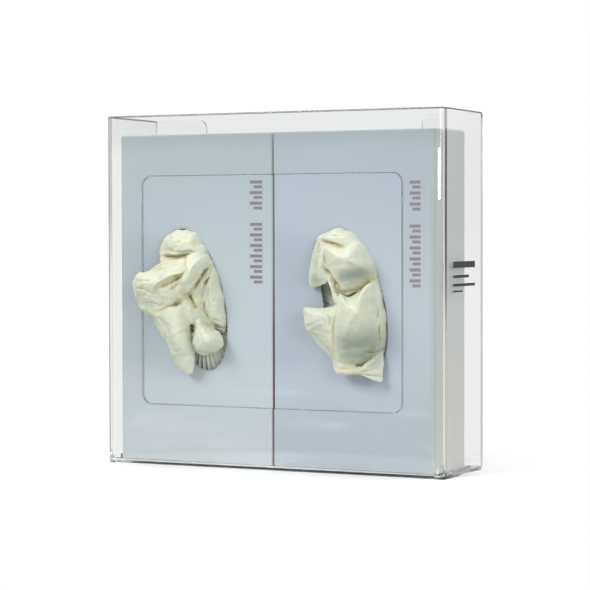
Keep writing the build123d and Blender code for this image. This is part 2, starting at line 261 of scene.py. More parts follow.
@dataclass(frozen=True)
class ClearSheetFinish:
    """Clear polished PETG: bends light as the real sheet does and darkens it along long ways.

    Painted shade darkens the sheet beside the top rim, the walls' rear edges and the window's rim, in an
    outline along the bends where the eye skirts the sheet, and on the front wall above the cartons.
    Light that is turned back inside the sheet is let out after a few turns, in the guided colours,
    which are painted darker high up on the right.
    Sizes are in millimetres, except the heights at which a look fades in, which are in metres.
    The window's sizes are its half width, half height, corner radius and middle height.
    """

    name: str = "clear_polished_sheet"
    rim: bool = False
    top: float = 257.2
    back: float = 38.1
    half_width: float = 134.95
    front: float = -35.0
    window: tuple[float, float, float, float] = (103.5, 83.4, 7.0, 128.7)
    rim_reach: Pair = (1.35, 0.95)
    rear_reach: Pair = (0.75, 0.45)
    rear_fade: Pair = (0.10, 0.20)
    rear_strength: float = 0.3
    window_reach: Pair = (0.65, 0.95)
    window_strength: float = 0.7
    # painted shade beside the top rim, the walls' rear edges and the window's rim
    painted_rim_shade: Colour = (0.22, 0.23, 0.23, 1.0)
    # painted shade: the front wall is greyer above the cartons
    upper: Colour = (0.86, 0.875, 0.865, 1.0)
    upper_shade_fade: Pair = (0.225, 0.246)
    guided: Colour = (0.90, 0.91, 0.89, 1.0)
    # painted shade: trapped light comes out darker high up on the right
    guided_high_shade: Colour = (0.50, 0.51, 0.50, 1.0)
    guided_fade: Pair = (0.09, 0.17)
    guided_side: float = 0.1
    refraction: float = 1.57
    tint: Colour = (0.990, 0.993, 0.986, 1.0)
    # painted shade: the colour of the dark outline along the bends
    outline: Colour = (0.22, 0.23, 0.23, 1.0)
    outline_shade_facing: Pair = (0.48, 0.66)
    absorbed: Colour = (0.74, 0.77, 0.68, 1.0)
    density: float = 7.0
    shade: float = 0.985

    def build(self) -> bpy.types.Material:
        """Builds the sheet: glass for what is seen, clear for shadows and for trapped light.

        Returns:
            The sheet's material.
        """
        material, graph = new_material(self.name)
        ripple = graph.noise(0.09, 1.0)
        relief = graph.add("Bump", {"Strength": 0.02, "Distance": 0.0004, "Height": ripple})
        x, y, z = graph.place()
        # painted shade: a dark outline along the bends, where they are seen edge-on
        tint = graph.blend(self.outline_shade_mask(graph, x), self.tint, self.outline)
        # the guided colours hold painted shade, darker high up on the right
        guided = graph.times(graph.smooth(z, *self.guided_fade), graph.maths("GREATER_THAN", x, self.guided_side))
        guided = graph.blend(guided, self.guided, self.guided_high_shade)
        if self.rim:
            # painted shade on the front wall above the cartons
            above = graph.times(graph.smooth(z, *self.upper_shade_fade), graph.maths("LESS_THAN", y, self.front * MM))
            tint = graph.darken(above, tint, self.upper)
            # painted shade beside the rim, the rear edges and the window's rim, on the glass and on trapped light
            edge = self.edge_shade_mask(graph)
            tint = graph.darken(edge, tint, self.painted_rim_shade)
            guided = graph.darken(edge, guided, self.painted_rim_shade)
        glass = graph.add(
            "BsdfPrincipled",
            {
                "Base Color": tint,
                "Roughness": 0.0,
                "IOR": self.refraction,
                "Transmission Weight": 1.0,
                "Normal": relief.outputs[0],
            },
        )
        path = graph.add("LightPath")
        lets_through = graph.maths("MAXIMUM", path.outputs["Is Shadow Ray"], path.outputs["Is Diffuse Ray"])
        both = graph.mix(lets_through, glass, graph.clear(self.shade, self.shade, self.shade))
        both = graph.mix(trapped_light(graph, path), both, graph.add("BsdfTransparent", {0: guided}))
        volume = graph.add("VolumeAbsorption", {"Color": self.absorbed, "Density": self.density})
        graph.finish(both.outputs[0], volume.outputs[0])
        return material

    def outline_shade_mask(self, graph: Graph, x: Socket) -> Socket:
        """A painted shade outline along the bends, where the eye skirts along the outside of the sheet.

        Args:
            graph: the graph to build in.
            x: the place across.

        Returns:
            The mask's socket, which is 0 on the flat outside of the walls.
        """
        facing = graph.add("LayerWeight", {0: 0.5}).outputs["Facing"]
        outside = graph.rest(graph.add("NewGeometry").outputs["Backfacing"])
        bent = graph.maths("LESS_THAN", graph.maths("ABSOLUTE", x), (self.half_width - 0.005) * MM)
        return graph.times(graph.smooth(facing, *self.outline_shade_facing), outside, bent)

    def edge_shade_mask(self, graph: Graph) -> Socket:
        """The painted shade's mask: 1 beside the top rim, the rear edges of the walls and the window's rim.

        The way from the window's rim is that of a rectangle with rounded corners: the length of
        what reaches past the smaller rectangle of the corners' middles, less the corner radius.

        Args:
            graph: the graph to build in.

        Returns:
            The mask's socket.
        """
        x, y, z = graph.place()
        top = graph.smooth(z, *((self.top - reach) * MM for reach in self.rim_reach))
        rear = graph.smooth(y, *((self.back - reach) * MM for reach in self.rear_reach))
        rear = graph.times(rear, graph.smooth(z, *self.rear_fade), self.rear_strength)
        half_width, half_height, corner, middle = self.window
        across = graph.maths("SUBTRACT", graph.maths("ABSOLUTE", x), (half_width - corner) * MM)
        along = graph.maths("ABSOLUTE", graph.maths("SUBTRACT", z, middle * MM))
        along = graph.maths("SUBTRACT", along, (half_height - corner) * MM)
        past = {0: graph.maths("MAXIMUM", across, 0.0), 1: graph.maths("MAXIMUM", along, 0.0), 2: 0.0}
        past = graph.add("CombineXYZ", past).outputs[0]
        away = graph.add("VectorMath", {0: past}, operation="LENGTH").outputs["Value"]
        inside = graph.maths("MINIMUM", graph.maths("MAXIMUM", across, along), 0.0)
        away = graph.maths("SUBTRACT", graph.maths("ADD", away, inside), corner * MM)
        window = graph.rest(graph.smooth(away, *(reach * MM for reach in self.window_reach)))
        in_front = graph.maths("LESS_THAN", y, self.front * MM)
        window = graph.times(window, in_front, self.window_strength)
        return graph.maths("MAXIMUM", graph.maths("MAXIMUM", top, rear), window)


@dataclass(frozen=True)
class CartonFinish:
    """Folding board printed pale blue in front, with plain grey-white sides.

    Every size is in millimetres, measured in the row frame, except the heights at which a look
    fades in, which are in metres. The label is its left, right, lower and upper edge.
    """

    name: str
    middle: float
    front: float
    low: float
    high: float
    label: tuple[float, float, float, float]
    oval: Pair
    oval_height: float
    strip: bool
    blush: bool
    face_low: Colour
    face_mid: Colour
    face_high: Colour
    width: float = 124.5
    depth: float = 51.5
    lean: float = 14.3
    belt_across: Pair = (-50.0, -18.0)
    belt_up: Pair = (0.07, 0.17)
    strip_across: Pair = (57.0, 60.5)
    blush_across: Pair = (61.5, 62.0)
    blush_up: Pair = (0.09, 0.15)
    front_turn: Pair = (0.55, 1.1)
    label_pitch: float = 7.6
    long_stroke: Pair = (0.04, 0.34)
    short_stroke: Pair = (0.50, 0.78)
    label_gap: int = 3
    dots_per_turn: float = 15.0
    side: Colour = linear(203, 205, 199)
    side_high: Colour = linear(204, 209, 206)
    brink: Colour = linear(126, 122, 108)
    inner: Colour = linear(186, 184, 176)
    ink: Colour = linear(136, 126, 136)
    pink: Colour = linear(196, 120, 150)
    magenta: Colour = linear(158, 104, 134)
    green: Colour = linear(168, 182, 178)
    streak: Colour = linear(192, 200, 204)
    belt: Colour = (0.86, 0.87, 0.89, 1.0)
    cloud: Colour = (0.965, 0.975, 0.985, 1.0)

    def from_middle(self, places: Pair) -> Pair:
        """Two places across, counted from the carton's middle, in metres."""
        return (self.middle + places[0]) * MM, (self.middle + places[1]) * MM

    def colour(self, graph: Graph) -> Socket:
        """The board's colour: the front's print, the sides and the inside.

        Args:
            graph: the graph to build in.

        Returns:
            The colour socket.
        """
        x, y, z = graph.place()
        face = self.face(graph, x, z)
        side = self.flank(graph, x, y, z)
        turned = graph.smooth(y, *((self.front + place) * MM for place in self.front_turn))
        colour = graph.blend(turned, face, side)
        return graph.blend(self.inside_mask(graph, x, y, z), colour, self.inner)

    def face(self, graph: Graph, x: Socket, z: Socket) -> Socket:
        """The front: a colour that changes with height, streaks, soft clouds, printed title strokes and the
        opening's edge.

        Args:
            graph: the graph to build in.
            x: the place across.
            z: the place up.

        Returns:
            The colour socket.
        """
        height = self.high - self.low
        # the face's colour changes with height, from face_low through face_mid to face_high
        rise = graph.smooth(z, self.low * MM, (self.low + 0.45 * height) * MM)
        top = graph.smooth(z, (self.low + 0.5 * height) * MM, self.high * MM)
        face = graph.blend(rise, self.face_low, self.face_mid)
        face = graph.blend(top, face, self.face_high)
        streak = graph.smooth(graph.noise(0.011, 2.0, (7, 1, 1), (0, 34, 0)), 0.50, 0.72)
        low_part = graph.rest(graph.smooth(z, 0.03, 0.12))
        face = graph.blend(graph.times(streak, low_part, 0.55), face, self.streak)
        outer = graph.rest(graph.smooth(x, *self.from_middle(self.belt_across)))
        belt = graph.within(z, *self.belt_up, 0.03)
        face = graph.darken(graph.times(outer, belt), face, self.belt)
        cloud = graph.smooth(graph.noise(0.05, 2.0), 0.35, 0.7)
        face = graph.darken(graph.times(cloud, 0.35), face, self.cloud)
        face = graph.blend(self.label_mask(graph, x, z), face, self.ink)
        face = self.oval_edge(graph, x, z, face)
        if self.strip:
            strip = graph.smooth(x, *self.from_middle(self.strip_across))
            face = graph.blend(graph.times(strip, 0.8), face, self.green)
        return face

    def flank(self, graph: Graph, x: Socket, y: Socket, z: Socket) -> Socket:
        """The plain sides, with the lines of their upper and rear folds.

        Args:
            graph: the graph to build in.
            x: the place across.
            y: the place from front to back.
            z: the place up.

        Returns:
            The colour socket.
        """
        side = graph.blend(graph.smooth(z, 0.02, 0.2), self.side, self.side_high)
        off_middle = graph.maths("ABSOLUTE", graph.maths("SUBTRACT", x, self.middle * MM))
        flank = graph.maths("GREATER_THAN", off_middle, (self.width / 2 - 0.26) * MM)
        brink = graph.within(z, (self.high - 0.9) * MM, (self.high - 0.1) * MM, 0.1 * MM)
        rear_fold = self.front + self.depth
        rear = graph.within(y, (rear_fold - 0.7) * MM, (rear_fold - 0.1) * MM, 0.1 * MM)
        rear = graph.times(rear, graph.smooth(z, 0.18, 0.235))
        side = graph.blend(graph.maths("MAXIMUM", graph.times(brink, flank), rear), side, self.brink)
        if self.blush:
            right = graph.smooth(x, *self.from_middle(self.blush_across))
            lower = graph.rest(graph.smooth(z, *self.blush_up))
            side = graph.blend(graph.times(right, lower), side, self.pink)
        return side

    def oval_edge(self, graph: Graph, x: Socket, z: Socket, face: Socket) -> Socket:
        """The face with a row of perforation dots and a magenta sliver round the leaning opening.

        The reach of a place is its distance from the opening's middle, measured with each half
        axis of the ellipse as one: the opening's edge is at 1.

        Args:
            graph: the graph to build in.
            x: the place across.
            z: the place up.
            face: the colour without them.

        Returns:
            The colour socket.
        """
        cosine, sine = math.cos(math.radians(self.lean)), math.sin(math.radians(self.lean))
        across = graph.maths("SUBTRACT", x, self.middle * MM)
        up = graph.maths("SUBTRACT", z, self.oval_height * MM)
        short = graph.maths("ADD", graph.times(across, cosine), graph.times(up, sine))
        tall = graph.maths("SUBTRACT", graph.times(up, cosine), graph.times(across, sine))
        short = graph.maths("DIVIDE", short, self.oval[0] * MM)
        tall = graph.maths("DIVIDE", tall, self.oval[1] * MM)
        place = graph.add("CombineXYZ", {0: short, 1: tall, 2: 0.0}).outputs[0]
        reach = graph.add("VectorMath", {0: place}, operation="LENGTH").outputs["Value"]
        turn = graph.times(graph.maths("ARCTAN2", tall, short), self.dots_per_turn)
        dots = graph.within(graph.maths("FRACT", turn), 0.3, 0.75, 0.1)
        ring = graph.within(reach, 1.0, 1.035, 0.006)
        face = graph.blend(graph.times(ring, dots, 0.45), face, self.ink)
        if self.blush:
            return face
        part = graph.times(graph.within(tall, -0.8, -0.1, 0.12), graph.maths("GREATER_THAN", short, 0.0))
        sliver = graph.within(reach, 1.0, 1.026, 0.006)
        return graph.blend(graph.times(sliver, part, 0.85), face, self.magenta)

    def label_mask(self, graph: Graph, x: Socket, z: Socket) -> Socket:
        """The column of plain strokes that stands for the printed title, two to a pitch.

        Args:
            graph: the graph to build in.
            x: the place across.
            z: the place up.

        Returns:
            The mask's socket: 1 on a stroke.
        """
        left, right, bottom, top = self.label
        pitch = self.label_pitch
        across = graph.within(x, left * MM, right * MM, 0.4 * MM)
        along = graph.within(z, bottom * MM, top * MM, 0.4 * MM)
        share = graph.maths("DIVIDE", graph.maths("SUBTRACT", top * MM, z), pitch * MM)
        share = graph.maths("FRACT", share)
        first = graph.within(share, *self.long_stroke, 0.05)
        second = graph.within(share, *self.short_stroke, 0.05)
        second = graph.times(second, graph.maths("GREATER_THAN", x, ((left + right) / 2 - 2.0) * MM))
        block = graph.maths("MAXIMUM", first, second)
        gap_top = top - self.label_gap * pitch
        gap = graph.within(z, (gap_top - pitch) * MM, gap_top * MM, 0.01 * MM)
        return graph.times(across, along, block, graph.rest(gap))

    def inside_mask(self, graph: Graph, x: Socket, y: Socket, z: Socket) -> Socket:
        """The faces inside the carton and the cut edge of its opening.

        Args:
            graph: the graph to build in.
            x: the place across.
            y: the place from front to back.
            z: the place up.

        Returns:
            The mask's socket: 1 on those faces.
        """
        half = self.width / 2 - 0.35
        in_x = graph.within(x, (self.middle - half) * MM, (self.middle + half) * MM, 0.1 * MM)
        in_y = graph.within(y, (self.front + 0.3) * MM, (self.front + self.depth - 0.3) * MM, 0.1 * MM)
        in_z = graph.within(z, (self.low + 0.9) * MM, (self.high - 0.9) * MM, 0.1 * MM)
        return graph.times(in_x, in_y, in_z)

    def build(self) -> bpy.types.Material:
        """Builds the board with its fibres and a slight sag.

        Returns:
            The carton's material.
        """
        material, graph = new_material(self.name)
        colour = self.colour(graph)
        height = graph.maths("ADD", graph.times(graph.noise(0.0011, 3.0), 0.04), graph.noise(0.05, 1.0))
        relief = graph.add("Bump", {"Strength": 0.25, "Distance": 0.0006, "Height": height})
        board = graph.add(
            "BsdfPrincipled",
            {"Base Color": colour, "Roughness": 0.5, "Specular IOR Level": 0.3, "Normal": relief.outputs[0]},
        )
        graph.finish(board.outputs[0])
        return material


@dataclass(frozen=True)
class LatexFinish:
    """Thin powdered latex: cream on the crests, with painted shade that is ochre to brown deep in the folds and
    grey-green where the skin is occluded.
    """

    name: str = "powdered_latex"
    crest: Colour = linear(217, 219, 197)
    pale: Colour = linear(207, 213, 195)
    # painted crease shade: ochre in the folds, and brown deep in them
    fold: Colour = linear(200, 192, 142)
    deep: Colour = linear(128, 114, 88)
    # painted shade: grey-green where the skin is occluded or washed with shade, and an ochre wash along folds and
    # edges
    cool_shade: Colour = linear(158, 168, 154)
    warm_shade: Colour = linear(210, 200, 142)

    occlusion_reach: float = 0.009
    valleys: tuple[tuple[float, float], ...] = ((0.009, 25), (0.013, -50))

    def build(self) -> bpy.types.Material:
        """Builds the latex: painted shade in its colour follows the occlusion, the skin's hollows and the painted
        shade washes.

        Returns:
            The latex material.
        """
        material, graph = new_material(self.name)
        # painted shade from ambient occlusion
        occlusion = graph.add("AmbientOcclusion", {"Distance": self.occlusion_reach}, samples=8).outputs["AO"]
        hollow, cool_shade, warm_shade = (
            graph.add("Attribute", attribute_name=word).outputs["Fac"] for word in ("hollow", "cool_shade", "warm_shade")
        )
        patch = graph.smooth(graph.noise(0.012, 3.0), 0.35, 0.65)
        base = graph.blend(graph.times(patch, 0.8), self.crest, self.pale)
        base = graph.blend(cool_shade, base, self.cool_shade)
        base = graph.blend(warm_shade, base, self.warm_shade)
        # painted shade: occluded places go grey-green
        shade = graph.rest(graph.smooth(occlusion, 0.25, 0.85))
        base = graph.blend(graph.times(shade, 0.5), base, self.cool_shade)
        # painted crease shade: ochre in the folds, brown deep in them
        fold_shade_amount = graph.maths("MINIMUM", graph.maths("ADD", graph.times(shade, 0.3), hollow), 1.0)
        colour = graph.blend(graph.times(graph.smooth(fold_shade_amount, 0.10, 0.7), 0.8), base, self.fold)
        colour = graph.blend(graph.times(graph.smooth(fold_shade_amount, 0.62, 1.0), 0.8), colour, self.deep)
        relief = graph.add("Bump", {"Strength": 0.5, "Distance": 0.0012, "Height": self.relief(graph)})
        latex = graph.add(
            "BsdfPrincipled",
            {
                "Base Color": colour,
                "Roughness": 0.58,
                "Specular IOR Level": 0.25,
                "Subsurface Weight": 0.15,
                "Subsurface Radius": (1.0, 0.85, 0.5),
                "Subsurface Scale": 0.0035,
                "Normal": relief.outputs[0],
            },
        )
        graph.finish(latex.outputs[0])
        return material

    def relief(self, graph: Graph) -> Socket:
        """The skin's fine relief: grain, ripples, and valleys where a noise passes its middle.

        Args:
            graph: the graph to build in.

        Returns:
            The height's socket.
        """
        ripple = graph.noise(0.0048, 3.0, (2.6, 2.6, 1), (0, 22, 0))
        height = graph.maths("ADD", graph.times(graph.noise(0.0013, 3.0), 0.12), graph.times(ripple, 0.6))
        for size, turn in self.valleys:
            valley = graph.maths("SUBTRACT", graph.noise(size, 1.5, (1.6, 1.6, 1), (0, turn, 0)), 0.5)
            valley = graph.maths("MINIMUM", graph.times(graph.maths("ABSOLUTE", valley), 5.0), 1.0)
            height = graph.maths("ADD", height, graph.times(valley, 0.7))
        return height


@dataclass(frozen=True)
class InkFinish:
    """Flat print on clear sheet."""

    name: str = "wall_print"
    colour: Colour = linear(52, 54, 58)
    worn: Colour = linear(70, 72, 76)

    def build(self) -> bpy.types.Material:
        """Builds the ink, slightly worn in patches.

        Returns:
            The ink's material.
        """
        material, graph = new_material(self.name)
        worn = graph.smooth(graph.noise(0.002, 2.0), 0.3, 0.7)
        colour = graph.blend(graph.times(worn, 0.25), self.colour, self.worn)
        ink = graph.add("BsdfPrincipled", {"Base Color": colour, "Roughness": 0.55})
        graph.finish(ink.outputs[0])
        return material


@dataclass(frozen=True)
class CementFinish:
    """The cemented face between a lug and its wall: dull grey, with fine lines along it."""

    name: str = "lug_cement"
    colour: Colour = linear(128, 130, 128)
    line: Colour = linear(186, 188, 186)
    cover: float = 0.55

    def build(self) -> bpy.types.Material:
        """Builds the cement, which covers a share of what is behind it.

        Returns:
            The cement's material.
        """
        material, graph = new_material(self.name)
        lines = graph.noise(0.0006, 2.0, (1, 30, 1))
        colour = graph.blend(graph.smooth(lines, 0.35, 0.65), self.colour, self.line)
        dull = graph.add("BsdfDiffuse", {0: colour})
        graph.finish(graph.mix(self.cover, graph.clear(0.9, 0.91, 0.9), dull).outputs[0])
        return material


# ------------------------------------------------------------------ meshes
def linked(name: str, mesh: bpy.types.Mesh) -> bpy.types.Object:
    """A new object at the origin, linked to the scene.

    Args:
        name: the object's name.
        mesh: the mesh that it shows.

    Returns:
        The object.
    """
    thing = bpy.data.objects.new(name, mesh)
    bpy.context.scene.collection.objects.link(thing)
    return thing


def mesh_object(name: str, points: np.ndarray, faces: list[tuple[int, ...]]) -> bpy.types.Object:
    """A new mesh object at the origin.

    Args:
        name: the object's name.
        points: vertices in millimetres, one row each.
        faces: the corners of each face.

    Returns:
        The object, linked to the scene.
    """
    mesh = bpy.data.meshes.new(name)
    mesh.from_pydata((points * MM).tolist(), [], faces)
    mesh.update()
    return linked(name, mesh)


def store(mesh: bpy.types.Mesh, word: str, values: np.ndarray) -> None:
    """Stores one number for each vertex, under the name by which a material reads it."""
    attribute = mesh.attributes.new(word, "FLOAT", "POINT")
    attribute.data.foreach_set("value", values.astype(np.float32))


def shade_smooth(mesh: bpy.types.Mesh) -> None:
    """Makes every face of a mesh smooth."""
    mesh.polygons.foreach_set("use_smooth", np.ones(len(mesh.polygons), bool))


def placed(local: np.ndarray, middle: Point) -> np.ndarray:
    """Points given across, up and out from a middle, as places along x, y and z."""
    x, y, z = middle
    return np.stack((x + local[:, 0], y - local[:, 2], z + local[:, 1]), axis=-1)


def dress(thing: bpy.types.Object, material: bpy.types.Material) -> None:
    """Gives an object one material in place of its own."""
    thing.data.materials.clear()
    thing.data.materials.append(material)


def closed_curve(corners: np.ndarray, count: int) -> np.ndarray:
    """A smooth closed curve through a few points.

    Catmull-Rom: between two neighbours the curve is a cubic whose slope at each point is half
    the step from the point before it to the point after it. Points are spread evenly by length.

    Args:
        corners: the points, one row each.
        count: the number of points wanted.

    Returns:
        The curve's points, one row each.
    """
    fine = np.linspace(0, len(corners), len(corners) * 24, endpoint=False)
    start = np.floor(fine).astype(int)
    share = (fine - start)[:, None]
    before, here, after, beyond = (corners[(start + k) % len(corners)] for k in (-1, 0, 1, 2))
    curve = 0.5 * (
        2 * here
        + (after - before) * share
        + (2 * before - 5 * here + 4 * after - beyond) * share**2
        + (3 * here - before - 3 * after + beyond) * share**3
    )
    steps = np.linalg.norm(np.roll(curve, -1, axis=0) - curve, axis=1)
    length = np.concatenate(([0.0], np.cumsum(steps)))
    wanted = np.linspace(0, length[-1], count, endpoint=False)
    around = np.vstack((curve, curve[:1]))
    return np.stack([np.interp(wanted, length, around[:, k]) for k in range(around.shape[1])], axis=1)


def crumple(across: np.ndarray, up: np.ndarray, seed: int, size: float, waves: int = 7) -> np.ndarray:
    """Soft random folds over a plane, about from -1 to 1.

    The sum of ridged waves, 1 - 2 |sin|, each with its own direction, length and phase, and each
    bent by a longer wave across it.

    Args:
        across: places along x.
        up: places along z.
        seed: picks the pattern.
        size: the length of a fold in the same unit as the places.
        waves: the number of waves.

    Returns:
        The height at each place.
    """
    random = np.random.default_rng(seed)
    total = np.zeros_like(across)
    for _ in range(waves):
        turn, phase, bend = random.uniform(0, math.tau, 3)
        length = size * random.uniform(0.7, 1.8)
        along = across * math.cos(turn) + up * math.sin(turn)
        beside = up * math.cos(turn) - across * math.sin(turn)
        bent = along + 0.35 * length * np.sin(beside / length * 1.3 + bend)
        total += 1 - 2 * np.abs(np.sin(math.pi * bent / (2 * length) + phase))
    return total / waves


@dataclass(frozen=True)
class Crease:
    """A line along which a fold dips or rises: places in millimetres from the opening's middle."""

    line: tuple[tuple[float, float], ...]
    width: float
    depth: float

    def nearest(self, across: np.ndarray, up: np.ndarray) -> tuple[np.ndarray, np.ndarray]:
        """How far each place is from the line, and where along the line its nearest point is.

        Args:
            across: places along x.
            up: places along z.

        Returns:
            The distance, and the share of the line's length.
        """
        best = np.full(across.shape, 1e9)
        place = np.zeros(across.shape)
        line = np.array(self.line)
        steps = np.linalg.norm(np.diff(line, axis=0), axis=1)
        reach = np.concatenate(([0.0], np.cumsum(steps))) / steps.sum()
        for number, (start, end) in enumerate(zip(line[:-1], line[1:])):
            way = end - start
            share = ((across - start[0]) * way[0] + (up - start[1]) * way[1]) / (way @ way)
            share = np.clip(share, 0, 1)
            away = np.hypot(across - start[0] - share * way[0], up - start[1] - share * way[1])
            nearer = away < best
            best = np.where(nearer, away, best)
            here = reach[number] + share * (reach[number + 1] - reach[number])
            place = np.where(nearer, here, place)
        return best, place

    def fall(self, across: np.ndarray, up: np.ndarray) -> np.ndarray:
        """The share of the crease's depth at each place: 1 on the line, a bell curve beside it.

        The share also tapers over the line's last quarters, so that a crease fades out.

        Args:
            across: places along x.
            up: places along z.

        Returns:
            The share at each place.
        """
        best, place = self.nearest(across, up)
        taper = np.clip(4 * np.minimum(place, 1 - place) + 0.25, 0, 1)
        return np.exp(-((best / self.width) ** 2)) * taper

    def wash(self, across: np.ndarray, up: np.ndarray) -> np.ndarray:
        """The share of a wash of painted shade: a bell curve that keeps its strength to the line's ends."""
        return np.exp(-((self.nearest(across, up)[0] / self.width) ** 2))


@dataclass(frozen=True)
class Fold:
    """One soft lobe of a pulled glove.

    Each point of the rim is a place across, up and out from the middle of the opening, in
    millimetres, and the fullness there: 1 falls evenly from the crest, and a higher one stays
    flat for longer and turns down close to the rim.
    """

    rim: tuple[tuple[float, float, float, float], ...]
    crest: Point
    seed: int
    hem: float = 0.9
    crumple: float = 0.45
    crumple_size: float = 8.0
    around: int = 160
    rings: int = 36
    spread: float = 1.25
    roll_steps: int = 6
    roll_slant: float = 0.6
    back_steps: int = 5

    def surface(self) -> tuple[np.ndarray, np.ndarray]:
        """The lobe as a closed shell on a grid of rings.

        From the crest out to the rim a point goes straight across and up, while its stand-off
        goes from the crest's to the rim's as the share of the way to the power of the fullness.
        The rim rolls over in a half circle, and a plain back runs to a point behind the crest.

        Returns:
            The grid's points, crest first, and the corners of its faces.
        """
        rim = closed_curve(np.array(self.rim, float), self.around)
        crest = np.array(self.crest, float)
        share = 1 - (1 - np.linspace(0, 1, self.rings)[1:, None]) ** self.spread
        x = crest[0] + (rim[:, 0] - crest[0]) * share
        z = crest[1] + (rim[:, 1] - crest[1]) * share
        out = crest[2] + (rim[:, 2] - crest[2]) * share ** np.maximum(rim[:, 3], 1)
        out = out + self.crumple * crumple(x, z, self.seed, self.crumple_size) * (1 - share**4)
        roll = np.linspace(0, math.pi, self.roll_steps)[1:, None]
        inward = (crest[None, :] - rim[:, :3])[:, :2]
        inward = inward / np.linalg.norm(inward, axis=1)[:, None]
        bulge = np.sin(roll) - (1 - np.cos(roll)) * self.roll_slant
        roll_x = rim[:, 0] - inward[:, 0] * self.hem * bulge
        roll_z = rim[:, 1] - inward[:, 1] * self.hem * bulge
        roll_out = rim[:, 2] - self.hem * (1 - np.cos(roll))
        back = np.linspace(0, 1, self.back_steps)[1:-1, None]
        low = rim[:, 2].min() - 2 * self.hem
        back_x = roll_x[-1] + (crest[0] - roll_x[-1]) * back
        back_z = roll_z[-1] + (crest[1] - roll_z[-1]) * back
        back_out = roll_out[-1] + (low - roll_out[-1]) * back
        columns = ((x, roll_x, back_x), (z, roll_z, back_z), (out, roll_out, back_out))
        grid = np.stack([np.vstack(column) for column in columns], axis=-1)
        return closed_grid(grid, crest, np.array((crest[0], crest[1], low)))


def closed_grid(grid: np.ndarray, first: np.ndarray, last: np.ndarray) -> tuple[np.ndarray, np.ndarray]:
    """Closes a grid of rings with a point at either end.

    Args:
        grid: points by ring, by place round the ring, by axis.
        first: the point inside the first ring.
        last: the point inside the last ring.

    Returns:
        All points, and three-sided faces.
    """
    rows, columns = grid.shape[:2]
    points = np.vstack((grid.reshape(-1, 3), first[None, :], last[None, :]))
    index = np.arange(rows * columns).reshape(rows, columns)
    following = np.roll(index, -1, axis=1)
    near = np.stack((index[:-1], index[1:], following[1:]), axis=-1).reshape(-1, 3)
    far = np.stack((index[:-1], following[1:], following[:-1]), axis=-1).reshape(-1, 3)
    start = np.full(columns, rows * columns)
    cap = np.stack((start, index[0], following[0]), axis=-1)
    tail = np.stack((index[-1], start + 1, following[-1]), axis=-1)
    return points, np.vstack((near, far, cap, tail))


@dataclass
class Skin:
    """A mesh's vertices as an array, with the neighbours that smooth them."""

    thing: bpy.types.Object
    points: np.ndarray = field(init=False)
    pairs: np.ndarray = field(init=False)

    def __post_init__(self) -> None:
        """Reads the vertices, in millimetres, and the edges."""
        mesh = self.thing.data
        flat = np.zeros(len(mesh.vertices) * 3, np.float32)
        mesh.vertices.foreach_get("co", flat)
        self.points = flat.reshape(-1, 3).astype(float) / MM
        ends = np.zeros(len(mesh.edges) * 2, np.int32)
        mesh.edges.foreach_get("vertices", ends)
        self.pairs = ends.reshape(-1, 2)

    def averaged(self, values: np.ndarray, rounds: int, share: float = 0.5) -> np.ndarray:
        """Values moved towards the mean of their neighbours, some rounds over.

        Args:
            values: one row for each vertex.
            rounds: how often.
            share: how far towards the mean in each round.

        Returns:
            The smoothed values.
        """
        one, two = self.pairs[:, 0], self.pairs[:, 1]
        count = len(self.points)
        degree = np.bincount(one, minlength=count) + np.bincount(two, minlength=count)
        degree = np.maximum(degree, 1)[:, None]
        values = values.reshape(count, -1)
        for _ in range(rounds):
            sums = [
                np.bincount(one, values[two, k], count) + np.bincount(two, values[one, k], count)
                for k in range(values.shape[1])
            ]
            values = values + share * (np.stack(sums, axis=-1) / degree - values)
        return values

    def normals(self) -> np.ndarray:
        """The outward directions at the vertices."""
        self.write()
        flat = np.zeros(len(self.points) * 3, np.float32)
        self.thing.data.vertices.foreach_get("normal", flat)
        return flat.reshape(-1, 3).astype(float)

    def write(self) -> None:
        """Puts the vertices back into the mesh."""
        self.thing.data.vertices.foreach_set("co", (self.points * MM).astype(np.float32).ravel())
        self.thing.data.update()


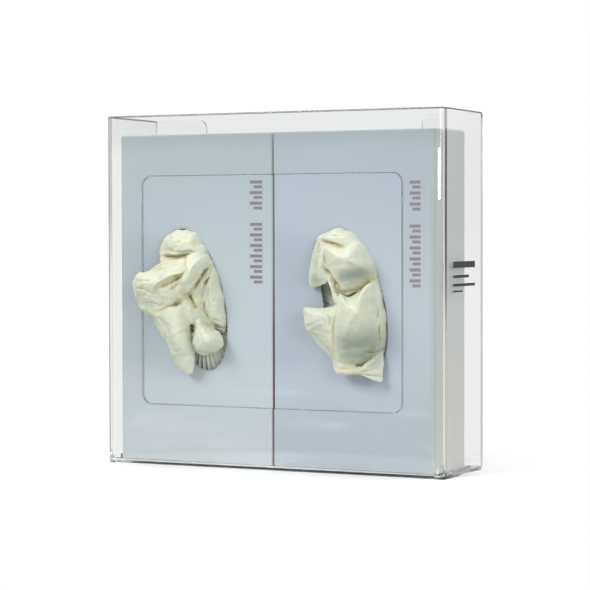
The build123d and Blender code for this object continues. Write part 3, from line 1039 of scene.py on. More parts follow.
@dataclass
class PulledGlove:
    """A glove drawn out of an opening: lobes that grow into one skin, with creases pressed in."""

    name: str
    node: Part
    middle: Point
    folds: dict[str, Fold]
    creases: tuple[Crease, ...]
    # strokes of painted grey-green shade and of painted ochre shade
    cool_shade: tuple[Crease, ...]
    warm_shade: tuple[Crease, ...]
    wrinkle: float
    wrinkle_size: float = 4.6
    fine_share: float = 0.45
    fine_strength: float = 0.3
    grain: float = 0.55
    full_press: float = 2.6

    def build(self, finish: bpy.types.Material) -> bpy.types.Object:
        """Builds the glove in front of its opening.

        Args:
            finish: the latex material.

        Returns:
            The glove.
        """
        glove = self.joined()
        skin = Skin(glove)
        skin.points = skin.averaged(skin.points, 3)
        pressed = self.crease(skin)
        skin.points = skin.averaged(skin.points, 1)
        self.mark_painted_shade(skin, pressed)
        skin.write()
        shade_smooth(glove.data)
        glove.data.materials.append(finish)
        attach(glove, "root")
        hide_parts(self.node.value)
        return glove

    def joined(self) -> bpy.types.Object:
        """Places the lobes and grows them together.

        Returns:
            One closed skin of even small faces.
        """
        points, faces, count = [], [], 0
        for fold in self.folds.values():
            local, corners = fold.surface()
            points.append(local)
            faces.append(corners + count)
            count += len(local)
        glove = mesh_object(self.name, placed(np.vstack(points), self.middle), np.vstack(faces).tolist())
        skin = glove.modifiers.new("skin", "REMESH")
        skin.mode = "VOXEL"
        skin.voxel_size = self.grain * MM
        evaluated = glove.evaluated_get(bpy.context.evaluated_depsgraph_get())
        grown = bpy.data.meshes.new_from_object(evaluated)
        glove.modifiers.clear()
        glove.data = grown
        return glove

    def crease(self, skin: Skin) -> np.ndarray:
        """Presses the creases and fine wrinkles into the front of the skin.

        Each vertex that faces forwards moves back by the sum of the creases' depths there, and
        every vertex moves along its own outward direction by soft random folds.

        Args:
            skin: the skin, whose points are moved.

        Returns:
            How strongly each vertex is pressed in, from 0 to 1.
        """
        x, _, z = self.middle
        across, up = skin.points[:, 0] - x, skin.points[:, 2] - z
        outward = skin.normals()
        facing = np.clip(-outward[:, 1] * 1.6, 0, 1)
        sunk, pressed = np.zeros(len(across)), np.zeros(len(across))
        for crease in self.creases:
            fall = crease.fall(across, up)
            sunk += crease.depth * fall
            if crease.depth > 0:
                pressed = np.maximum(pressed, fall**2 * min(1.0, crease.depth / self.full_press))
        skin.points[:, 1] += sunk * facing
        seed = len(self.folds)
        soft = crumple(across, up, seed, self.wrinkle_size)
        fine = crumple(across, up, seed + 9, self.wrinkle_size * self.fine_share)
        skin.points += outward * (self.wrinkle * soft + self.fine_strength * self.wrinkle * fine)[:, None]
        return pressed

    def mark_painted_shade(self, skin: Skin, pressed: np.ndarray) -> None:
        """Stores the painted crease shade, from how hollow the skin is, as how far a smoothed skin lies outside it,
        and from how strongly it is pressed in, and the painted shade washes.

        Args:
            skin: the skin to measure and mark.
            pressed: how strongly each vertex is pressed in.
        """
        outward = skin.normals()
        near = skin.averaged(skin.points, 6)
        far = skin.averaged(near, 24)
        sharp = np.einsum("ij,ij->i", near - skin.points, outward)
        broad = np.einsum("ij,ij->i", far - skin.points, outward)
        # painted crease shade from the skin's hollows and pressed creases
        hollow = np.clip(sharp * 4.0, 0, 1) * 0.5 + np.clip(broad * 0.5, 0, 1) * 0.4 + 0.3 * pressed
        hollow = skin.averaged(np.clip(hollow, 0, 1), 1).ravel()
        across, up = skin.points[:, 0] - self.middle[0], skin.points[:, 2] - self.middle[2]
        washes = {"hollow": hollow, "cool_shade": np.zeros(len(across)), "warm_shade": np.zeros(len(across))}
        for word, strokes in (("cool_shade", self.cool_shade), ("warm_shade", self.warm_shade)):
            for stroke in strokes:
                washes[word] = np.maximum(washes[word], stroke.depth * stroke.wash(across, up))
        for word, wash in washes.items():
            store(skin.thing.data, word, np.clip(wash, 0, 1))


@dataclass
class NextGlove:
    """The glove behind an opening: a membrane with pleats that spread from where it is held."""

    name: str
    node: Part
    middle: Point
    pinch: Pair
    half_width: float = 31.0
    half_height: float = 62.0
    pleats: int = 19
    depth: float = 1.5
    thickness: float = 2.0
    softness: float = 0.6
    softness_size: float = 9.0
    seed: int = 3
    around: int = 260
    rings: int = 46

    def build(self, finish: bpy.types.Material) -> bpy.types.Object:
        """Builds the membrane.

        Args:
            finish: the latex material.

        Returns:
            The membrane.
        """
        local, hollow, faces = self.surface()
        membrane = mesh_object(self.name, placed(local, self.middle), faces)
        store(membrane.data, "hollow", hollow)
        # painted grey-green shade over the whole membrane
        store(membrane.data, "cool_shade", np.full(len(hollow), 0.1))
        shade_smooth(membrane.data)
        membrane.data.materials.append(finish)
        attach(membrane, "root")
        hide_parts(self.node.value)
        return membrane

    def surface(self) -> tuple[np.ndarray, np.ndarray, list[tuple[int, ...]]]:
        """The membrane as a closed shell on a polar grid around the pinch.

        The front's stand-off is a cosine of the direction, stronger away from the pinch, plus
        soft random folds. The back is the same outline, flat, one thickness behind.

        Returns:
            The points, the painted shade in the pleats at each of them, and the faces.
        """
        angle = np.linspace(0, math.tau, self.around, endpoint=False)[None, :]
        share = np.linspace(0.03, 1, self.rings)[:, None]
        px, pz = self.pinch
        x = px + (self.half_width * np.cos(angle) - px) * share
        z = pz + (self.half_height * np.sin(angle) - pz) * share
        way = np.arctan2(z - pz, x - px)
        wander = 1.3 * np.sin(2 * way + self.seed) + 0.8 * np.sin(3 * way)
        wave = np.abs(np.cos(self.pleats * way + wander))
        out = self.depth * np.sin(np.minimum(share * 2.2, 1) * math.pi / 2) * (1 - wave) * 1.4
        out = out + self.softness * crumple(x, z, self.seed, self.softness_size) - self.depth
        behind = -self.thickness - 2 * self.depth
        rear = np.stack((x[::-1], z[::-1], np.full_like(out, behind)), axis=-1)
        local = np.concatenate((np.stack((x, z, out), axis=-1), rear)).reshape(-1, 3)
        local = np.vstack((local, [[px, pz, out[0].mean()], [px, pz, behind]]))
        hollow = np.zeros(len(local))
        # painted shade in the pleats' valleys
        hollow[: wave.size] = 0.4 * np.clip(0.35 * wave - 0.1, 0, 1).ravel()
        rows, columns = 2 * self.rings, self.around
        index = np.arange(rows * columns).reshape(rows, columns)
        following = np.roll(index, -1, axis=1)
        quads = np.stack((index[:-1], index[1:], following[1:], following[:-1]), axis=-1).reshape(-1, 4)
        start = np.full(columns, rows * columns)
        cap = np.stack((start, index[0], following[0]), axis=-1)
        tail = np.stack((index[-1], start + 1, following[-1]), axis=-1)
        return local, hollow, quads.tolist() + cap.tolist() + tail.tolist()


LEFT_FOLDS: dict[str, Fold] = {
    "neck": Fold(  # gathered neck inside the opening
        rim=(
            (-12.5, 47.5, -5, 2), (-0.5, 41.5, -5, 2), (7.5, 31.5, -5, 2), (12.5, 21, -5, 2),
            (17, 5.5, -5, 2), (15, -10, -5, 2), (-0.5, -14, -5, 2), (-16.5, -10.5, -5, 2),
            (-28.5, 5, -5, 2), (-32, 24.5, -5, 2), (-30.5, 40, -5, 2), (-24, 47.5, -5, 2),
        ),
        crest=(-5.5, 16.5, 8),
        seed=11,
    ),
    "dome": Fold(  # dome at the top
        rim=(
            (-27, 33.5, 5, 1.6), (-26.5, 40, 5, 2), (-23.5, 46.5, 4, 2), (-18.5, 50.6, 3, 2.5),
            (-11.5, 52.4, 1.5, 3), (-2.5, 51, 0.5, 3), (3.5, 45.8, 0.5, 3), (8.5, 39, 0.5, 3),
            (11.5, 32.5, 0.5, 3), (9, 31, 6, 2.5), (-1.5, 32.5, 10, 3), (-14.5, 33, 9, 3),
        ),
        crest=(-2.5, 41, 13),
        seed=12,
    ),
    "tuck": Fold(  # skin drawn in between the dome and the lobe
        rim=(
            (-25, 36, 7, 2), (-12, 37.5, 9, 2), (0, 37, 9, 2), (6, 33.5, 8, 2), (0, 28, 9, 2),
            (-12, 26, 9, 2), (-24, 25, 8, 2),
        ),
        crest=(-9, 32, 12.5),
        seed=20,
    ),
    "lobe": Fold(  # large lobe
        rim=(
            (-38, 21, 12, 1.5), (-30, 24, 11, 1.4), (-21.5, 29, 12, 1.5), (-9, 31, 14, 2),
            (2, 31, 17, 2.5), (8, 26.5, 20, 2), (4.5, 10.5, 20, 1.6), (-7, 0.5, 18, 1.5),
            (-22.5, -7.5, 14, 1.4), (-35, -6, 12, 1.4), (-42.5, -1.5, 11, 1.6), (-45, 5.5, 12, 2),
            (-45.5, 13, 13, 2.5), (-43.5, 18.5, 13, 2),
        ),
        crest=(-13.5, 14.5, 25),
        seed=13,
    ),
    "tip": Fold(  # rounded tip of the lobe
        rim=(
            (-46.5, 13, 12, 2.5), (-44, 19, 12, 2.5), (-38, 21, 12, 2), (-30, 18, 14, 2),
            (-30, 10, 16, 2), (-34, 3, 14, 2), (-42.5, -1, 11, 2), (-46, 6, 11, 2.5),
        ),
        crest=(-35.5, 11.5, 19),
        seed=14,
    ),
    "band": Fold(  # band
        rim=(
            (0.5, 33.5, 15, 2), (7, 35, 10, 2), (11.5, 34.5, 3, 2.5), (12.5, 32.5, 2, 2.5),
            (13.5, 26.5, 8, 2), (12.5, 19.5, 16, 2), (6.5, 9.5, 21, 1.6), (-4.5, 1.5, 19, 1.6),
            (-16, -6.5, 16, 1.6), (-28.5, 0, 14, 1.5), (-26, 5.5, 18, 1.5), (-12, 6.5, 22, 2),
            (-0.5, 14.5, 25, 2), (3.5, 23.5, 22, 2),
        ),
        crest=(10.5, 20, 29),
        seed=15,
    ),
    "finger": Fold(  # hanging finger
        rim=(
            (-44.5, -2.5, 9, 1.6), (-38.5, -8.5, 9, 1.6), (-32, -14.5, 9, 1.8), (-26.5, -22.5, 9, 2),
            (-19.5, -31.5, 9, 2.4), (-17, -40, 8, 2.6), (-11.5, -48.5, 7, 2.6), (-3.5, -53.5, 7, 2.4),
            (2, -50, 8, 2.4), (4, -43, 9, 2.4), (3, -32.5, 11, 2.4), (2.5, -21, 13, 2.4),
            (1, -9.5, 14, 2.2), (-1.5, -2, 15, 2), (-10, 0.5, 17, 1.6), (-29.5, -2, 14, 1.5),
        ),
        crest=(-5, -17, 23),
        seed=16,
    ),
    "bulb": Fold(  # round fingertip
        rim=(
            (6, -12, 9, 2), (12, -13.5, 8, 2), (20, -19.5, 7, 2), (25.5, -27, 6, 2.4),
            (24, -33, 6, 2.8), (18.5, -37, 6, 3), (11, -39, 7, 3), (5.5, -38, 8, 2.8),
            (2, -32.5, 9, 2.6), (2, -25, 10, 2.4), (3.5, -18, 10, 2),
        ),
        crest=(19.5, -25.5, 20),
        seed=17,
    ),
    "fan": Fold(  # folds that fan down from the rim
        rim=(
            (11.5, 33, 0.5, 2.5), (15.5, 26.5, 0, 2.5), (18, 19.5, 0, 2.5), (21, 10.5, -0.5, 2.5),
            (24, -0.5, -0.5, 2.5), (25, -12, -1, 2.5), (23.5, -22, 0, 2), (18, -20, 4, 1.6),
            (11, -14, 7, 1.6), (6, -10.5, 9, 1.6), (3, -1, 11, 1.6), (2.5, 8, 15, 1.6),
            (10, 16.5, 14, 1.6), (13.5, 25.5, 7, 2),
        ),
        crest=(18, 6, 13),
        seed=18,
    ),
    "web": Fold(  # hollow between the lobes
        rim=(
            (1, 10, 15, 1.5), (10.5, 8, 13, 1.5), (12, -1.5, 11, 1.5), (8, -12, 9, 2),
            (3.5, -18, 10, 2), (-3, -12, 13, 2), (-9, -3, 16, 1.5), (-8, 5, 17, 1.5),
        ),
        crest=(2, -3, 17.5),
        seed=19,
    ),
}

LEFT_CREASES: tuple[Crease, ...] = (
    Crease(((-20, 48.5), (-10, 49.5), (-1, 48.5)), 0.7, 0.8),  # hem line under the top edge
    Crease(((-16, 46), (-5, 46), (0.5, 46)), 0.6, 0.5),  # cuff line
    Crease(((-24.5, 32.5), (-11, 32.5), (-0.5, 33.5)), 1.5, 3.2),  # deep ochre fold
    Crease(((14, 25.5), (11, 18), (6, 9.5)), 1.0, 2.6),  # pleat 1
    Crease(((16, 24.5), (15.5, 18), (12.5, 10.5)), 0.9, 2.4),  # pleat 2
    Crease(((19, 16.5), (21, 6), (21, -4)), 0.8, 1.6),  # pleat 3
    Crease(((13.5, 1.5), (11, -6.5), (14.5, -14)), 1.2, 1.6),  # pleat 4
    Crease(((-26.5, 5.5), (-18.5, 14), (-8, 19), (1.5, 21.5)), 0.9, -1.5),  # ridge light
    Crease(((-19.5, 9.5), (-9, 13.5), (0.5, 19)), 1.8, 2.2),  # hollow right of ridge
    Crease(((-30.5, 23), (-21, 27), (-9, 30)), 1.0, -1.2),  # lobe upper edge
    Crease(((-24.5, 21), (-14, 25), (-4.5, 27)), 1.6, 1.5),  # lobe fold
    Crease(((-44, 15.5), (-34, 15), (-23.5, 15.5)), 0.9, 1.0),  # tip fold 1
    Crease(((-42, 10), (-32, 8.5), (-26, 5.5)), 0.9, 1.0),  # tip fold 2
    Crease(((1, 6.5), (4, 1.5), (7, -7)), 1.8, 3.5),  # recess
    Crease(((1.5, -14), (2.5, -21.5), (2.5, -31)), 0.7, 1.8),  # finger side
    Crease(((-21.5, -7.5), (-12.5, -3.5), (-4, -1)), 1.4, 1.5),  # finger fold 1
    Crease(((-25, -10), (-16.5, -15.5), (-10.5, -24.5)), 2.0, 0.8),  # finger fold 2
    Crease(((11.5, -13.5), (19, -19.5), (25, -25.5)), 0.8, 1.5),  # bulb top
    Crease(((-19.8, 38.1), (-9.3, 35.6), (1.1, 36.2), (10, 35.6)), 0.7, 0.8),  # fine line over the ochre fold
    Crease(((-12.2, 48.3), (-4.8, 46.5), (3.4, 45.7)), 0.6, 0.6),  # line under the hem
    Crease(((4.1, 48.6), (11.5, 43.4), (17.3, 36.3)), 0.7, 0.7),  # cuff roll
    Crease(((-33.4, 21.7), (-22.8, 25.7), (-11.6, 28.8), (-4.1, 30.6)), 0.7, 0.9),  # upper edge of the lobe
    Crease(((-41, 13.7), (-33.4, 13.8), (-25.9, 16.1)), 0.5, 0.5),  # tip wrinkle 1
    Crease(((-42.6, 8.5), (-35.7, 8.9), (-28.9, 7.9)), 0.5, 0.5),  # tip wrinkle 2
    Crease(((-39.5, 3.2), (-32, 4), (-23.7, 2.1)), 0.6, 0.6),  # tip wrinkle 3
    Crease(((-35, -2), (-27.5, -1.2), (-19.9, -3.8)), 0.6, 0.7),  # tip wrinkle 4
    Crease(((-24.5, -7.8), (-15.5, -3.7), (-5, -0.9)), 0.7, 0.8),  # lobe lower fold
    Crease(((-4.9, 14.7), (1, 20), (9.9, 26.5)), 0.6, 0.7),  # band line 1
    Crease(((-9.4, 8.1), (-0.5, 13.5), (8.4, 18.7), (15.8, 24.6)), 0.6, 0.6),  # band line 2
    Crease(((7.7, 12.9), (13.6, 19.4), (21, 26.8)), 0.55, 1.5),  # pleat a
    Crease(((10.6, 12), (17.6, 18.4), (23.4, 25)), 0.55, 1.6),  # pleat b
    Crease(((14.3, 12.9), (20.2, 18.8), (24.6, 23)), 0.5, 1),  # pleat c
    Crease(((24.6, 20.1), (22.4, 9.8), (20.1, -0.6)), 0.6, 0.9),  # fan pleat 1
    Crease(((27.5, 15), (26.7, 3.4), (24.5, -7)), 0.6, 0.9),  # fan pleat 2
    Crease(((17.2, 13.6), (15.7, 3.2), (17.2, -5.8)), 0.6, 0.8),  # fan pleat 3
    Crease(((12.1, 9.7), (10.6, 0.6), (14.2, -9.8)), 0.6, 0.8),  # fan pleat 4
    Crease(((14.2, -15), (21.5, -19), (29.6, -20.9)), 0.6, 1.3),  # ruffle 1
    Crease(((15.7, -11.7), (24.5, -15.4), (31.8, -16.6)), 0.6, 1),  # ruffle 2
    Crease(((-12.5, -15.4), (-10.8, -25.9), (-6.6, -38.8)), 1.2, 0.5),  # finger flute
    Crease(((9.8, -18.9), (14.2, -25.3), (15.6, -33.1)), 0.8, 0.5),  # bulb flute
)

# Strokes of painted grey-green shade on the left glove's shaded parts.
LEFT_COOL_SHADE: tuple[Crease, ...] = (
    Crease(((-27.5, -3.9), (-15.5, -15.5), (-5.1, -38.8)), 5, 0.35),  # finger
    Crease(((2.4, -20.4), (3.8, -28.2), (6, -38.5)), 2, 0.8),  # side of the finger
    Crease(((12.7, -15), (24.5, -20), (31.8, -22.4)), 3, 0.75),  # ruffles
    Crease(((30.4, 6), (31.5, -6.9), (32.1, -19.8)), 2.2, 0.7),  # rim side
    Crease(((10, 42.1), (17.3, 34.3), (24.6, 24)), 1.8, 0.5),  # cuff side
    Crease(((-39.5, 2.6), (-32, -7.9), (-24.5, -15.6)), 3, 0.35),  # under the tip
    Crease(((9.7, -35.8), (18.5, -38.2), (27.3, -32.8)), 2.5, 0.5),  # under the bulb
    Crease(((-19.7, 42.1), (-18.3, 36.8), (-17.5, 32.9)), 3, 0.3),  # dome side
    Crease(((-41, 14.4), (-39.5, 5.2), (-35, -1.3)), 2.5, 0.3),  # tip side
)

# Strokes of painted ochre shade along the left glove's folds and edges.
LEFT_WARM_SHADE: tuple[Crease, ...] = (
    Crease(((-20.5, 32.9), (-10.8, 32.3), (-0.4, 33), (1.8, 29.7)), 2.2, 0.65),  # ochre fold
    Crease(((-33.4, 22.1), (-21.3, 26.4), (-7.8, 29.7)), 1.5, 0.4),  # lobe edge
    Crease(((-19.9, 8.7), (-13.1, 14.6), (-4.2, 18.6)), 2.6, 0.5),  # hollow beside the ridge
    Crease(((-11.5, 44.9), (-1.8, 45.3), (2.6, 43.4)), 2, 0.2),  # under the hem
    Crease(((1.7, 5.7), (5.4, 0.5), (6.9, -4.7)), 2.6, 0.5),  # recess
    Crease(((-27.5, -7.8), (-20, -5.1), (-12.5, -1.7)), 2, 0.25),  # lobe lower fold
    Crease(((15.8, 14.9), (21.7, 18.8), (24.6, 13.7)), 2.4, 0.3),  # pleats
)

RIGHT_FOLDS: dict[str, Fold] = {
    "neck": Fold(  # gathered neck inside the opening
        rim=(
            (-18, 48, -5, 2), (-7, 48, -5, 2), (4.5, 38, -5, 2), (11.5, 26, -5, 2), (17, 10, -5, 2),
            (20.5, -10, -5, 2), (19.5, -29, -5, 2), (9.5, -39, -5, 2), (-4, -37, -5, 2),
            (-14, -18, -5, 2), (-20, 5, -5, 2), (-25, 28, -5, 2), (-25, 42, -5, 2),
        ),
        crest=(3, 13, 8),
        seed=41,
    ),
    "side": Fold(  # crumpled edge beside the rim
        rim=(
            (17, 23, 0, 2.5), (19.5, 16, 0, 2.5), (22, 7, 0, 2.5), (24.5, -6, 0, 2.5),
            (25.5, -17, 0, 2.5), (25, -28.5, 0, 2.5), (23.5, -36, 2, 2), (19, -35, 5, 2),
            (18, -17, 7, 2), (16, 2.5, 6, 2), (15.5, 16, 5, 2),
        ),
        crest=(23.5, -12.5, 9),
        seed=42,
    ),
    "fold": Fold(  # fold down the left edge
        rim=(
            (-25, 44.5, 5, 2), (-20, 41.5, 9, 2), (-15, 33.5, 11, 2), (-14, 24.5, 11, 2),
            (-15.5, 15.5, 10, 2), (-22.5, 12.5, 7, 2), (-29, 11, 5, 2), (-33, 13.5, 4, 2.5),
            (-32, 26, 4, 2.5), (-29.5, 36, 4, 2.5),
        ),
        crest=(-20, 26.5, 13),
        seed=43,
    ),
    "band": Fold(  # band
        rim=(
            (-25, 43, 6, 2), (-25, 47, 5, 2.5), (-18.5, 50.5, 3, 2.5), (-12, 53, 1, 3),
            (-4.5, 51.5, 0.5, 3), (1, 49, 0.5, 3), (5.5, 44, 0.5, 3), (9.5, 39, 6, 2), (7, 38, 11, 2),
            (-3, 39.5, 13, 3), (-15.5, 41.5, 11, 3),
        ),
        crest=(-6.5, 46, 13),
        seed=44,
    ),
    "lobe": Fold(  # large lobe
        rim=(
            (-21, 39.5, 8, 2), (-15.5, 41, 10, 2), (-3.5, 39.5, 12, 2), (4.5, 43.5, 6, 2),
            (9.5, 40.5, 1, 2.5), (14, 33, 0.5, 2.5), (17.5, 24.5, 0.5, 2.5), (18.5, 19, 3, 1.6),
            (12, 13, 8, 1.3), (7, 9, 11, 1.2), (1, 6, 13, 1.3), (-4.5, 8.5, 13, 1.4),
            (-11, 16, 12, 1.5), (-18, 25, 10, 1.6),
        ),
        crest=(5.5, 31, 25),
        seed=45,
    ),
    "ridge": Fold(  # thin ridge beside the hollow
        rim=(
            (-15, 17.5, 11, 2), (-12, 17, 12, 2), (-5.5, 7, 16, 2), (-2, -1.5, 19, 2),
            (-3.5, -5.5, 18, 2), (-9.5, 4, 14, 2),
        ),
        crest=(-6.5, 5.5, 18),
        seed=46,
    ),
    "wing": Fold(  # wing
        rim=(
            (-34, -3, 9, 2.5), (-33.5, -10, 10, 2.5), (-32.5, -17, 11, 2), (-24.5, -27.5, 9, 1.4),
            (-16.5, -35.5, 9, 1.4), (-10, -41, 10, 1.5), (-2.5, -36, 17, 1.6), (0, -16.5, 22, 2),
            (-1.5, -1.5, 20, 2), (-10.5, -2, 15, 2), (-20, -3, 11, 2),
        ),
        crest=(-12, -9.5, 21),
        seed=47,
    ),
    "tail": Fold(  # tail along the bottom
        rim=(
            (-11, -39.5, 11, 2), (-10, -48, 9, 2.4), (-4.5, -51, 8, 2.6), (2, -50, 8, 2.6),
            (8.5, -50, 8, 2.6), (20, -54, 7, 2.4), (24.5, -54, 6, 2.4), (24.5, -47, 5, 2.4),
            (24.5, -35, 4, 2.4), (21, -34.5, 6, 2), (16.5, -39.5, 9, 1.6), (10, -43.5, 11, 1.6),
            (-2, -43, 12, 1.6),
        ),
        crest=(8.5, -46.5, 15),
        seed=48,
    ),
    "panel": Fold(  # broad panel
        rim=(
            (-3.5, 6, 18, 2.5), (2.5, 5, 16, 2), (8, 8, 12, 2), (16, 17.5, 2, 2.5), (20, 11, 1.5, 2.5),
            (22, -0.5, 1.5, 2.5), (23.5, -17, 2, 2.2), (23, -28.5, 3, 1.6), (21, -34, 5, 1.3),
            (9.5, -43, 8, 1.15), (-6, -43, 12, 1.2), (-3, -17, 21, 2),
        ),
        crest=(15, -5.5, 29),
        seed=49,
    ),
}

RIGHT_CREASES: tuple[Crease, ...] = (
    Crease(((-21, 44), (-12.5, 42.5), (-2, 39.5)), 1.1, 2.6),  # band crease
    Crease(((-19.5, 40.5), (-17.5, 34.5), (-17.5, 28.5)), 0.9, -1.2),  # left ridge
    Crease(((-24, 43.5), (-23.5, 39), (-23.5, 34.5)), 0.7, 1.4),  # left dark line
    Crease(((-18, 25), (-11.5, 20), (-6, 11.5), (-4.5, 6.5)), 1.3, 2.6),  # lobe lower left
    Crease(((-3.5, 7.5), (7, 9.5), (12, 13), (17.5, 19)), 1.1, 1.2),  # lobe lip
    Crease(((-2.5, 4.5), (-2, -9), (-3, -24.5), (-5.5, -39)), 0.9, -1.6),  # vertical ridge
    Crease(((-5.5, -9.5), (-7, -24.5), (-8.5, -38.5)), 1.1, 1.2),  # beside the ridge
    Crease(((-10, -8), (-9, -11.5), (-9.5, -16)), 0.8, 1.4),  # wing crease
    Crease(((-31.5, -17.5), (-20, -12.5), (-14, -11)), 1.2, 0.8),  # wing step
    Crease(((3, -30.5), (11.5, -32), (18.5, -28.5)), 4.0, 2.0),  # panel hollow
    Crease(((12.5, -35), (16.5, -33.5), (20, -29)), 1.6, 2.6),  # brown patch
    Crease(((-8.5, -45.5), (1.5, -45.5), (10, -43), (17.5, -39)), 1.0, 1.2),  # tail upper edge
    Crease(((10.5, -47), (16.5, -43.5), (23.5, -36.5)), 0.9, -1.2),  # tail fold
    Crease(((11, -49), (19, -49.5), (24.5, -50)), 0.8, 1.2),  # tail fold 2
    Crease(((21, 7), (22.5, -2), (21.5, -11.5)), 0.8, 1.4),  # side pleat 1
    Crease(((23, -27), (22.5, -20), (24, -12.5)), 0.8, 1.4),  # side pleat 2
    Crease(((-15.4, 49.3), (-6.7, 51.3), (3.4, 49.6)), 0.6, 0.6),  # hem line
    Crease(((-17.6, 46.7), (-8.1, 47.7), (4.9, 48.3)), 0.6, 0.6),  # band line
    Crease(((-19.8, 44), (-22, 33.4), (-24, 21.5)), 0.6, 0.8),  # left fold line 1
    Crease(((-16.9, 38.8), (-16.2, 30.8), (-13.3, 22.9)), 0.7, 0.8),  # left fold line 2
    Crease(((-15.5, 25.8), (-2.4, 27.4), (16.3, 27.5)), 1.6, 0.5),  # lobe step
    Crease(((2, 42.7), (-0.9, 34.8), (2, 27.6)), 1.3, 0.5),  # lobe flute
    Crease(((15.6, 37.5), (18.5, 32.3), (20.6, 25.7)), 0.6, 0.7),  # rim wrinkle 1
    Crease(((-10.4, 17.6), (-7.5, 8.4), (-6.2, -0.8)), 0.5, -0.9),  # thin ridge
    Crease(((-11.8, 15), (-9.7, 5.7), (-7.5, -2.2)), 0.5, 0.8),  # beside the thin ridge
    Crease(((-12.6, -3.6), (-11.1, -11.5), (-10.4, -16.8)), 0.5, 0.7),  # wing line
    Crease(((-30.2, -17.1), (-18.5, -19.6), (-6.8, -22)), 1, 0.5),  # wing fold
    Crease(((-28.7, -5.1), (-19.9, -7.6), (-12.6, -12.8)), 0.7, 0.4),  # wing wrinkle
    Crease(((6.3, 0.7), (7.7, -8.5), (6.2, -17.8)), 1.2, 0.4),  # panel flute
    Crease(((13.4, -33.4), (19.2, -34.6), (24.9, -31.8)), 0.6, 0.9),  # patch line 1
    Crease(((12.7, -37.4), (19.1, -39.2), (24.9, -36.4)), 0.6, 0.8),  # patch line 2
    Crease(((24.9, 10.1), (27.5, -4.3), (28.4, -16)), 0.6, 1),  # rim pleat 1
    Crease(((28.4, -21.3), (26.3, -29.2), (25.6, -37.1)), 0.6, 1),  # rim pleat 2
    Crease(((10.5, -47.3), (17.7, -46.4), (23.4, -43.7)), 0.6, 0.9),  # tail wrinkle 1
    Crease(((13.4, -49.2), (20.6, -50.3), (28.4, -52)), 0.6, 0.8),  # tail wrinkle 2
)

# Strokes of painted grey-green shade on the right glove's shaded parts.
RIGHT_COOL_SHADE: tuple[Crease, ...] = (
    Crease(((0.8, 19.7), (12.8, 21.5)), 5, 0.95),  # lower half of the lobe
    Crease(((2.7, 14.4), (8.9, 15.4)), 2.8, 0.6),  # lobe bottom
    Crease(((4.1, -28.4), (18.4, -26.7)), 9.5, 1),  # panel hollow
    Crease(((4.1, -35.6), (16.3, -34.7)), 8, 1),  # panel low
    Crease(((-23.5, 38.7), (-24.2, 28.1), (-25, 17.5)), 3.2, 0.45),  # left fold
    Crease(((-26.5, -21), (-18.5, -27.5), (-9.7, -37.3)), 5, 0.45),  # under the wing
    Crease(((26.3, 11.4), (28.4, -5.6), (29.4, -26.5)), 2.2, 0.75),  # rim side
    Crease(((13.4, -34.7), (20.6, -33.2), (24.9, -30.5)), 2.2, 1),  # patch
    Crease(((-5.4, -50), (4.8, -50.1), (12, -49.2)), 1.6, 0.5),  # bottom band
    Crease(((15.6, 41.4), (18.5, 33.6), (20.9, 27)), 2, 0.4),  # rim top
)

# Strokes of painted ochre shade along the right glove's folds and edges.
RIGHT_WARM_SHADE: tuple[Crease, ...] = (
    Crease(((-3.1, 8.2), (4.8, 9.1), (13.5, 14.9), (22.1, 21.6)), 2, 0.75),  # lobe edge
    Crease(((-13.3, 22.6), (-9.6, 17.6), (-6, 13.7)), 1.6, 0.55),  # beside the ridge
    Crease(((-19.1, 44.3), (-11.1, 41.7), (-2.4, 39.4)), 1.5, 0.35),  # band fold
    Crease(((-15.5, -23.5), (-11.2, -28.7), (-7.5, -35.2)), 3, 0.3),  # wing bottom
    Crease(((-4.7, -45.5), (3.3, -46.2), (11.2, -46.6)), 1.8, 0.35),  # bottom band
)


def plate(name: str, low: Point, high: Point) -> bpy.types.Object:
    """A thin block between two opposite corners, in millimetres.

    Args:
        name: the object's name.
        low: the lowest corner.
        high: the highest corner.

    Returns:
        The block.
    """
    ends = np.array((low, high), float)
    pick = np.array([[i, j, k] for i in (0, 1) for j in (0, 1) for k in (0, 1)])
    points = np.stack([ends[pick[:, axis], axis] for axis in range(3)], axis=-1)
    faces = [(0, 1, 3, 2), (4, 6, 7, 5), (0, 4, 5, 1), (2, 3, 7, 6), (0, 2, 6, 4), (1, 5, 7, 3)]
    return mesh_object(name, points, faces)


def is_flat_face(face: bmesh.types.BMFace) -> bool:
    """Whether a face lies square to an axis, as the sheet's flat faces do."""
    return max(abs(part) for part in face.normal) >= SQUARE_NORMAL


def is_smooth_edge(edge: bmesh.types.BMEdge) -> bool:
    """Whether shading may run over an edge: a slight one between two faces that are both upright or both not.

    So the normals of the upright bends stay level up to the rounding of the rim.
    """
    upright = [abs(face.normal.z) < UPRIGHT_NORMAL for face in edge.link_faces]
    return len(upright) == 2 and upright[0] == upright[1] and edge.calc_face_angle(0.0) < SOFT_TURN


